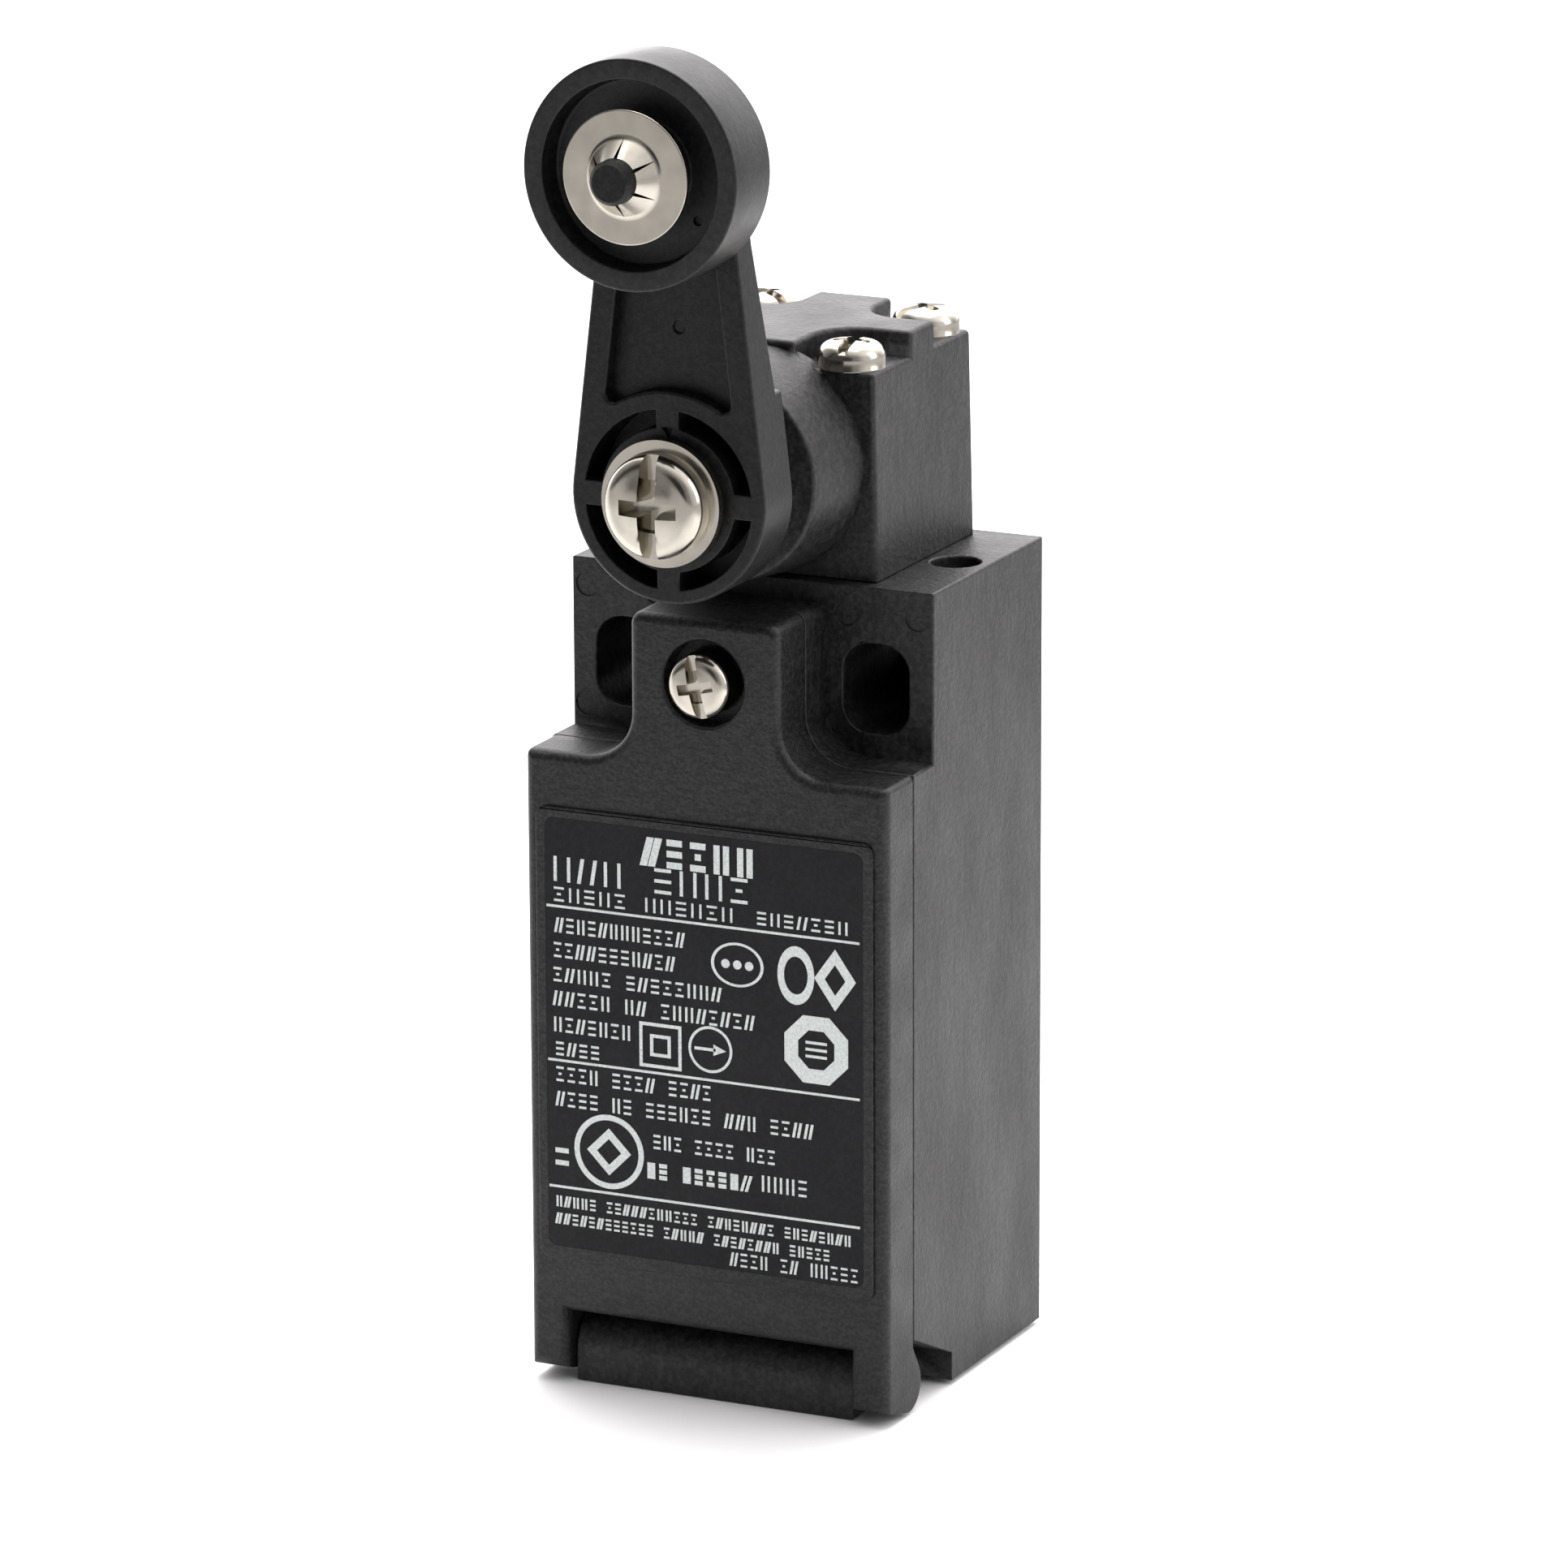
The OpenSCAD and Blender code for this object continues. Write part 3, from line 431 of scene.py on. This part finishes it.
def cover_width(middle, along):
    x, depth, height = abs(middle.x), -middle.y, middle.z - CASE_UNDER
    front = -COVER_LOW.y / MM
    face = front - PLATE_PROUD
    if lies(depth, front):
        on_rim = x > 14 or height < 10.2 or height > 46.2
        return 0.12 if on_rim else 0
    if lies(depth, face):
        counterbore = math.hypot(x, height - COVER_SCREW_TALL) < 3.6
        return 0.3 if counterbore else 0.8
    hinge_lobe = height < 5.5 and depth < front - 1
    if hinge_lobe:
        return 0.03
    outer_corner = depth > 25 and abs(along.y) > 0.9
    return 0.5 if outer_corner else 0.08


def head_width(middle, along):
    depth, height = -middle.y, middle.z - CASE_UNDER
    boss_end = depth > 26.9
    if boss_end:
        return 0.3
    raised_cross = height > 80
    outer_corner = abs(along.z) > 0.9 and abs(middle.x) > 9
    return 0.4 if raised_cross or outer_corner else 0.15


def lever_width(middle, along):
    away = math.hypot(middle.x, middle.z - SHAFT.z / MM)
    in_hub = away < 7.2
    gate_mark = abs(middle.x) < 1.2 and 12 < away < 14.5
    return 0.1 if in_hub or gate_mark else 0.3


def make_shells():
    soften("case", case_width)
    soften("cover", cover_width)
    soften("head", head_width, weld=0.08)
    soften("lever", lever_width)


def rounded_profile(points):
    """A profile given by its corners, as (radius, height, corner radius), turned into a smooth line."""
    steps = 5
    made = []
    for i, (x, y, r) in enumerate(points):
        here = Vector((x, y))
        if r == 0 or i in (0, len(points) - 1):
            made.append(here)
            continue
        before, after = Vector(points[i - 1][:2]), Vector(points[i + 1][:2])
        start, end = here + (before - here).normalized() * r, here + (after - here).normalized() * r
        for step in range(steps + 1):
            t = step / steps
            made.append(start * (1 - t) ** 2 + here * (2 * t * (1 - t)) + end * t ** 2)
    return made


def lathe(bm, profile, sides):
    """Turns a profile of (radius, height) about +Z; a radius of zero closes the end in one point."""
    rings = []
    for x, y in profile:
        if x < 1e-9:
            rings.append([bm.verts.new((0, 0, y))])
        else:
            rings.append([bm.verts.new((x * math.cos(a), x * math.sin(a), y))
                          for a in (2 * math.pi * k / sides for k in range(sides))])
    for low, high in zip(rings, rings[1:]):
        for k in range(sides):
            j = (k + 1) % sides
            corners = [low[k % len(low)], low[j % len(low)], high[j % len(high)], high[k % len(high)]]
            unique = [v for i, v in enumerate(corners) if v not in corners[:i]]
            if len(unique) > 2:
                bm.faces.new(unique)
    bmesh.ops.recalc_face_normals(bm, faces=bm.faces)


def turned_ring(points, sides):
    """A closed ring about +Z, from the corners of its profile as in rounded_profile."""
    bm = bmesh.new()
    lathe(bm, [tuple(p) for p in rounded_profile(points)], sides)
    bmesh.ops.remove_doubles(bm, verts=bm.verts, dist=1e-5)
    bmesh.ops.recalc_face_normals(bm, faces=bm.faces)
    return bm


def prism(bm, low_outline, high_outline, low, high):
    """Solid between two outlines of the same number of points, at two heights."""
    bottom = [bm.verts.new((x, y, low)) for x, y in low_outline]
    top = [bm.verts.new((x, y, high)) for x, y in high_outline]
    bm.faces.new(bottom[::-1])
    bm.faces.new(top)
    for k in range(len(bottom)):
        j = (k + 1) % len(bottom)
        bm.faces.new((bottom[k], bottom[j], top[j], top[k]))


def cut_away(bm, cutters):
    """The bmesh with closed solids taken out of it."""
    def as_object(source):
        mesh = bpy.data.meshes.new("cutting")
        source.to_mesh(mesh)
        source.free()
        made = bpy.data.objects.new("cutting", mesh)
        bpy.context.scene.collection.objects.link(made)
        return made

    target = as_object(bm)
    tools = [as_object(c) for c in cutters]
    for tool in tools:
        boolean = target.modifiers.new("cut", "BOOLEAN")
        boolean.object = tool
        boolean.operation = "DIFFERENCE"
        boolean.solver = "EXACT"
    graph = bpy.context.evaluated_depsgraph_get()
    made = bmesh.new()
    made.from_mesh(target.evaluated_get(graph).to_mesh())
    for unwanted in [target, *tools]:
        bpy.data.objects.remove(unwanted)
    return made


def cross_outline(length, width):
    """Outline of a cross with arms of that length from the middle."""
    a, b = width / 2, length
    quarter = [(a, -b), (a, -a), (b, -a), (b, a)]
    return [(x * c - y * s, x * s + y * c)
            for c, s in ((1, 0), (0, 1), (-1, 0), (0, -1)) for x, y in quarter[1:]]


# ---- Screws ----


def screw_head(radius, height, edge, crown, cross, slot, depth):
    """Pan head on +Z from zero: a thin flange, upright sides, a round shoulder and a shallow crown, with a
    slot across it and a tapered cross in it. Everything is in millimetres."""
    bm = bmesh.new()
    shoulder = height - crown - edge
    flange = radius + 0.05
    profile = [(0, 0), (flange, 0), (flange, 0.1), (radius, 0.2)]
    flat = radius - shoulder
    for k in range(9):
        a = math.pi / 2 * k / 8
        profile.append((flat + shoulder * math.cos(a), edge + shoulder * math.sin(a)))
    profile += [(flat * c, height - crown * c * c) for c in (0.75, 0.5, 0.25, 0)]
    lathe(bm, profile, 72)
    across = bmesh.new()
    low, high = ([(x * slot / 2 * spread, y * radius * 2) for x, y in ((-1, -1), (1, -1), (1, 1), (-1, 1))]
                 for spread in (0.75, 1.25))
    prism(across, low, high, height - depth * 0.75, height + 0.1)
    recess = bmesh.new()
    prism(recess, cross_outline(cross * 0.8, slot * 0.75), cross_outline(cross * 1.03, slot),
          height - depth, height + 0.05)
    made = cut_away(bm, [across, recess])
    bmesh.ops.remove_doubles(made, verts=made.verts, dist=1e-4)
    smooth_by_angle(made, 32)
    return made


def place_screw(name, seat, axis, turn, sizes, body, node):
    """A screw head with its seat at a point, facing along an axis, with its slot turned by some degrees."""
    bm = screw_head(**sizes)
    stand = Vector(axis).to_track_quat("Z", "Y").to_matrix().to_4x4()
    bm.transform(Matrix.Translation(seat) @ stand @ Matrix.Rotation(math.radians(turn), 4, "Z")
                 @ Matrix.Scale(MM, 4))
    piece = new_piece(name, bm, MATERIALS["plated_steel"], body, "plated_steel", node)
    bevel = piece.modifiers.new("round", "BEVEL")
    bevel.limit_method = "ANGLE"
    bevel.angle_limit = math.radians(40)
    bevel.width = 0.05 * MM
    bevel.segments = 2


HEAD_SCREW = {"radius": 2.65, "height": 2.1, "edge": 0.8, "crown": 0.15, "cross": 1.5, "slot": 0.85,
              "depth": 1.05}
COVER_SCREW = {"radius": 2.55, "height": 3.6, "edge": 2.5, "crown": 0.15, "cross": 1.5, "slot": 0.85,
               "depth": 1.0}
LEVER_SCREW = {"radius": 4.05, "height": 2.6, "edge": 0.95, "crown": 0.4, "cross": 2.4, "slot": 1.25,
               "depth": 2.0}


def make_screws():
    low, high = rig.box("head_screws")
    seat_h = high.z - HEAD_SCREW["height"] * MM
    reach = HEAD_SCREW["radius"] * MM
    turns = {("left", "front"): 20, ("right", "front"): 8, ("left", "back"): 60, ("right", "back"): -35}
    for (side, end), turn in turns.items():
        x = low.x + reach if side == "left" else high.x - reach
        y = low.y + reach if end == "front" else high.y - reach
        place_screw(f"head_screw_{end}_{side}", (x, y, seat_h), (0, 0, 1), turn, HEAD_SCREW,
                    "switch_body", "head_screws")
    low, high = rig.box("cover_screw")
    seat = ((low.x + high.x) / 2, low.y + COVER_SCREW["height"] * MM, (low.z + high.z) / 2)
    place_screw("cover_screw_head", seat, (0, -1, 0), 12, COVER_SCREW, "cover", "cover_screw")
    low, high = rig.box("lever_screw")
    seat = (SHAFT.x, low.y + LEVER_SCREW["height"] * MM, SHAFT.z)
    place_screw("lever_screw_head", seat, (0, -1, 0), 0, LEVER_SCREW, "lever", "lever_screw")


# ---- Roller ----


def facing_front(middle, front):
    """Turns a shape made on +Z so that it faces the front, with its zero at a place on the -Y axis."""
    stand = Matrix.Translation((middle.x, front, middle.z)) @ Matrix.Rotation(math.pi / 2, 4, "X")
    return stand @ Matrix.Scale(MM, 4)


def make_roller():
    thick = (ROLLER_HIGH.y - ROLLER_LOW.y) / MM
    rim = thick - 0.1
    outer, recess, hub, bore = 8.75, 7.2, 4.0, 2.96
    floor = rim - 2.1
    dimple_x, dimple_y = 4.6, -3.4
    bm = turned_ring([
        (bore, 0, 0), (outer, 0, 0.15), (outer, rim, 0.2), (recess, rim, 0.12), (recess - 0.15, floor, 0.25),
        (hub, floor, 0.25), (hub, thick, 0.15), (bore, thick, 0), (bore, 0, 0)
    ], 128)
    dimple = bmesh.new()
    lathe(dimple, [(0, -0.3), (0.35, -0.3), (0.5, 1), (0, 1)], 32)
    dimple.transform(Matrix.Translation((dimple_x, dimple_y, floor)))
    bm = cut_away(bm, [dimple])
    bm.transform(facing_front(PIN, ROLLER_HIGH.y))
    smooth_by_angle(bm, 40)
    new_piece("roller_tyre", bm, MATERIALS["roller_plastic"], "roller", "roller_plastic", "roller")


def make_retainer():
    """Push-on ring whose middle is a cone, parted into six tongues by slits that run to a point."""
    low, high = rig.box("roller_retainer")
    outer, thick, cone, stub, rise = (high.x - low.x) / MM / 2, 0.5, 3.0, 1.73, 1.5
    bm = turned_ring([
        (stub, rise, 0), (cone, 0, 0.1), (outer, 0, 0.05), (outer, thick, 0.12), (cone, thick, 0.3),
        (stub, rise + thick, 0), (stub, rise, 0)
    ], 120)
    slits = []
    for k in range(6):
        slit = bmesh.new()
        outline = [(-0.17, stub - 0.2), (0.17, stub - 0.2), (0.02, cone - 0.1), (-0.02, cone - 0.1)]
        prism(slit, outline, outline, -0.1, thick + rise + 0.1)
        slit.transform(Matrix.Rotation(math.radians(60 * k), 4, "Z"))
        bmesh.ops.recalc_face_normals(slit, faces=slit.faces)
        slits.append(slit)
    bm = cut_away(bm, slits)
    bm.transform(facing_front(PIN, high.y))
    smooth_by_angle(bm, 28)
    new_piece("retainer_ring", bm, MATERIALS["plated_steel"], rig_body("roller_retainer"), "plated_steel",
              "roller_retainer")


# ---- Print on the label ----


class Print:
    """Flat marks on the label, in millimetres from the label's lower left corner."""

    def __init__(self):
        self.bm = bmesh.new()
        self.dice = random.Random(7)
        self.thick = 0.03

    def patch(self, outline):
        prism(self.bm, outline, outline, 0, self.thick)

    def bar(self, x, y, wide, tall):
        self.patch([(x, y), (x + wide, y), (x + wide, y + tall), (x, y + tall)])

    def ring(self, x, y, r, width, squeeze=1.0, steps=48):
        """A round line about a point; squeeze makes it an oval."""
        inner, outer = [], []
        for k in range(steps + 1):
            a = math.radians(360 * k / steps)
            inner.append((x + (r - width) * math.cos(a), y + (r - width) * squeeze * math.sin(a)))
            outer.append((x + r * math.cos(a), y + r * squeeze * math.sin(a)))
        for k in range(steps):
            self.patch([inner[k], outer[k], outer[k + 1], inner[k + 1]])

    def frame(self, x, y, half, width, turn=45, sides=4, tall=1.0):
        """A line round a regular outline, with its corners at half from the middle; tall stretches it."""
        def corner(r, k):
            a = math.radians(turn + 360 * k / sides)
            return (x + r * math.cos(a), y + r * tall * math.sin(a))
        inside = half - width / math.cos(math.pi / sides)
        for k in range(sides):
            self.patch([corner(inside, k), corner(half, k), corner(half, k + 1), corner(inside, k + 1)])

    def filler(self, x, y, wide, tall, line):
        """One cell of a line of filler: a few plain strokes that are no letter."""
        kind = self.dice.randrange(4)
        middle = y + (tall - line) / 2
        if kind == 0:
            self.bar(x, y, line, tall)
            self.bar(x + wide - line, y, line, tall)
        elif kind == 1:
            for k in range(3):
                self.bar(x, y + (tall - line) * k / 2, wide, line)
        elif kind == 2:
            for shift in (0, wide - line * 1.2):
                self.patch([(x + shift - line * 0.6, y), (x + shift + line * 0.6, y),
                            (x + shift + line * 1.8, y + tall), (x + shift + line * 0.6, y + tall)])
        else:
            self.bar(x, y, wide, line)
            self.bar(x + wide * 0.3, middle, wide * 0.4, line)
            self.bar(x, y + tall - line, wide, line)

    def row(self, x, y, wide, tall, words, line):
        """A line of filler with words of so many cells each."""
        cell = 0.66                               # the part of the pitch that a cell fills
        pitch = wide / (sum(words) + len(words) - 1 - (1 - cell))
        at = x
        for word in words:
            for _ in range(word):
                self.filler(at, y, pitch * cell, tall, line)
                at += pitch
            at += pitch

    def arrow(self, x, y, long, line, head):
        """An arrow to the right about a point."""
        self.bar(x - long / 2, y - line / 2, long - head, line)
        tip = x + long / 2
        self.patch([(tip - head * 1.2, y - head * 0.5), (tip, y), (tip - head * 1.2, y + head * 0.5)])


# Lines of filler on the label: left, bottom, width, height, cells in each word, stroke, in millimetres
FILLER_ROWS = (
    (8.45, 31.6, 9.3, 2.3, (5,), 0.52),
    (0.75, 29.5, 16.55, 2.0, (3, 4), 0.27),
    (0.75, 27.9, 15.25, 1.15, (5, 6), 0.18),
    (18.1, 28.0, 7.6, 1.05, (7,), 0.18),
    (0.85, 25.4, 11.0, 1.2, (12,), 0.19),
    (0.7, 23.4, 10.3, 1.2, (11,), 0.19),
    (0.65, 21.45, 14.3, 1.15, (5, 8), 0.19),
    (0.65, 19.5, 17.1, 1.2, (5, 2, 8), 0.19),
    (0.65, 17.4, 6.55, 1.2, (7,), 0.19),
    (0.8, 15.5, 3.7, 1.1, (4,), 0.19),
    (0.8, 13.4, 13.25, 1.2, (4, 4, 4), 0.19),
    (0.8, 11.4, 21.9, 1.2, (4, 2, 6, 3, 4), 0.19),
    (9.15, 8.95, 10.35, 1.15, (3, 4, 3), 0.19),
    (8.6, 6.5, 8.8, 1.3, (2, 6), 0.34),
    (18.4, 6.7, 3.8, 1.3, (4,), 0.19),
    (0.7, 3.2, 25.2, 0.9, (5, 11, 8, 8), 0.17),
    (0.65, 1.8, 23.45, 0.9, (12, 5, 8, 5), 0.17),
    (15.7, 0.35, 10.8, 1.1, (4, 2, 5), 0.17),
)
RULE_HEIGHTS = (27.4, 15.0, 4.75)


def make_label_print():
    marks = Print()
    for x, y, wide, tall, words, line in FILLER_ROWS:
        marks.row(x, y, wide, tall, words, line)
    for y in RULE_HEIGHTS:
        marks.bar(0.1, y, 26.6, 0.2)
    marks.ring(16.4, 24.6, 2.23, 0.25, squeeze=0.79)          # an oval with three dots
    for x in (15.4, 16.4, 17.4):
        marks.ring(x, 24.6, 0.36, 0.34, steps=20)
    marks.ring(21.35, 24.35, 1.55, 0.55, squeeze=1.5)         # a tall oval
    marks.frame(24.65, 24.35, 1.75, 0.62, turn=0, tall=1.4)   # a tall diamond
    marks.frame(23.05, 18.6, 2.9, 1.15, turn=22.5, sides=8)   # an octagon with three bars
    for y in (17.95, 18.5, 19.05):
        marks.bar(22.15, y, 1.8, 0.22)
    marks.frame(9.8, 17.3, 2.55, 0.27)                        # a square in a square
    marks.frame(9.8, 17.3, 1.25, 0.27)
    marks.ring(14.07, 17.55, 1.87, 0.22)                      # an arrow in a ring
    marks.arrow(14.07, 17.55, 2.7, 0.24, 0.9)
    marks.ring(5.3, 8.2, 3.0, 0.45)                           # a diamond in a ring
    marks.frame(5.3, 8.2, 1.9, 0.6, turn=0)
    for y in (6.6, 7.6):
        marks.bar(0.65, y, 1.15, 0.4)
    bm = marks.bm
    bm.transform(Matrix.Translation((LABEL_LOW.x, LABEL_LOW.y, LABEL_LOW.z))
                 @ Matrix.Rotation(math.pi / 2, 4, "X") @ Matrix.Scale(MM, 4))
    bmesh.ops.recalc_face_normals(bm, faces=bm.faces)
    new_piece("label_print", bm, MATERIALS["ink"], "cover", "label_film")


# ---- Room ----


def make_floor():
    """Pale paper, white round the object, with painted shade in its colour that makes it dimmer far out in front and
    to the right of the camera, so that the object's front faces reflect a darker floor.
    """
    # dim is painted shade in the paper's colour, standing in for less light far from the object
    dim, white = (0.38, 0.38, 0.38), (0.95, 0.95, 0.95)
    rightwards = (0.906, 0.427, 0)                # the camera's right, on the floor
    bm = bmesh.new()
    bmesh.ops.create_grid(bm, x_segments=2, y_segments=2, size=6)
    mesh = bpy.data.meshes.new("floor")
    bm.to_mesh(mesh)
    bm.free()
    floor = bpy.data.objects.new("floor", mesh)
    floor.location.z = CASE_LOW.z - 0.1 * MM
    bpy.context.scene.collection.objects.link(floor)
    material, nodes, shader, place = new_material("floor_paper")
    parts = nodes.add("ShaderNodeSeparateXYZ")
    nodes.link(place, parts.inputs["Vector"])
    front = nodes.between(parts.outputs["Y"], -0.28, -0.06, 0, 1)
    across = nodes.add("ShaderNodeVectorMath", operation="DOT_PRODUCT")
    across.inputs[1].default_value = rightwards
    nodes.link(place, across.inputs[0])
    side = nodes.between(across.outputs["Value"], 0.14, 0.3, 1, 0)
    near = nodes.add("ShaderNodeMath", operation="MULTIPLY")
    nodes.link(front, near.inputs[0])
    nodes.link(side, near.inputs[1])
    # painted shade: the floor's colour goes from white near the object to dim far out in front and to the right
    nodes.link(nodes.mix(near.outputs["Value"], dim, white), shader.inputs["Base Color"])
    shader.inputs["Roughness"].default_value = 0.9
    mesh.materials.append(material)
    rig.stage(floor)


def softbox(name, place, towards, wide, tall, power):
    data = bpy.data.lights.new(name, "AREA")
    data.shape = "RECTANGLE"
    data.size, data.size_y = wide, tall
    data.energy = power
    lamp = bpy.data.objects.new(name, data)
    lamp.location = place
    lamp.rotation_mode = "QUATERNION"
    lamp.rotation_quaternion = (Vector(towards) - Vector(place)).to_track_quat("-Z", "Y")
    bpy.context.scene.collection.objects.link(lamp)


def make_world():
    """A white room, bright behind the object and above it, dim in front and at the left."""
    world = bpy.data.worlds.new("studio")
    world.use_nodes = True
    bpy.context.scene.world = world
    nodes = Nodes(world.node_tree)
    way = nodes.add("ShaderNodeTexCoord").outputs["Generated"]

    def zone(direction, wide, narrow, outside, inside):
        """A value that changes towards a direction, between two angles from it in degrees."""
        towards = nodes.add("ShaderNodeVectorMath", operation="DOT_PRODUCT")
        towards.inputs[1].default_value = Vector(direction).normalized()
        nodes.link(way, towards.inputs[0])
        return nodes.between(towards.outputs["Value"], math.cos(math.radians(wide)),
                             math.cos(math.radians(narrow)), outside, inside)

    def joined(operation, first, second):
        made = nodes.add("ShaderNodeMath", operation=operation)
        nodes.link(first, made.inputs[0])
        nodes.link(second, made.inputs[1])
        return made.outputs["Value"]

    behind = zone((-0.6, 0.75, 0.35), 80, 25, 0.35, 3.8)
    above = zone((0.2, 0.2, 1), 60, 25, 0.0, 1.2)
    right = zone((1, 0.1, 0.25), 50, 20, 0.0, 0.7)
    opening = zone((0.15, -0.96, 0.2), 24, 12, 1.0, 0.15)
    left = zone((-0.9, -0.3, 0.45), 45, 25, 1.0, 0.2)
    light = joined("ADD", joined("ADD", behind, above), right)
    strength = joined("MULTIPLY", joined("MULTIPLY", light, opening), left)
    room = nodes.add("ShaderNodeBackground")
    room.inputs["Color"].default_value = (1, 0.975, 0.98, 1)
    nodes.link(strength, room.inputs["Strength"])
    out = nodes.add("ShaderNodeOutputWorld")
    nodes.link(room.outputs["Background"], out.inputs["Surface"])


def make_light():
    bpy.context.scene.view_settings.view_transform = "Standard"
    make_world()
    middle = (0, -0.015, 0)
    softbox("right_softbox", (0.75, 0.2, 0.35), middle, 0.4, 0.6, 1.5)
    softbox("top_softbox", (0.0, 0.1, 0.8), middle, 0.5, 0.5, 3)


def finish_cad_materials():
    """The CAD nodes that stay get the material of their slot."""
    for node in NODES.values():
        slot = node.data.materials[0].name
        if slot in MATERIALS:
            node.data.materials[0] = MATERIALS[slot]


make_camera()
MATERIALS = make_materials()
make_shells()
make_screws()
make_roller()
make_retainer()
make_label_print()
make_floor()
make_light()
finish_cad_materials()

visual_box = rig.bounds()
with open("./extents.json", "w") as f:
    json.dump({"cad": [list(c) for c in CAD_BOX], "visual": [list(c) for c in visual_box]}, f)
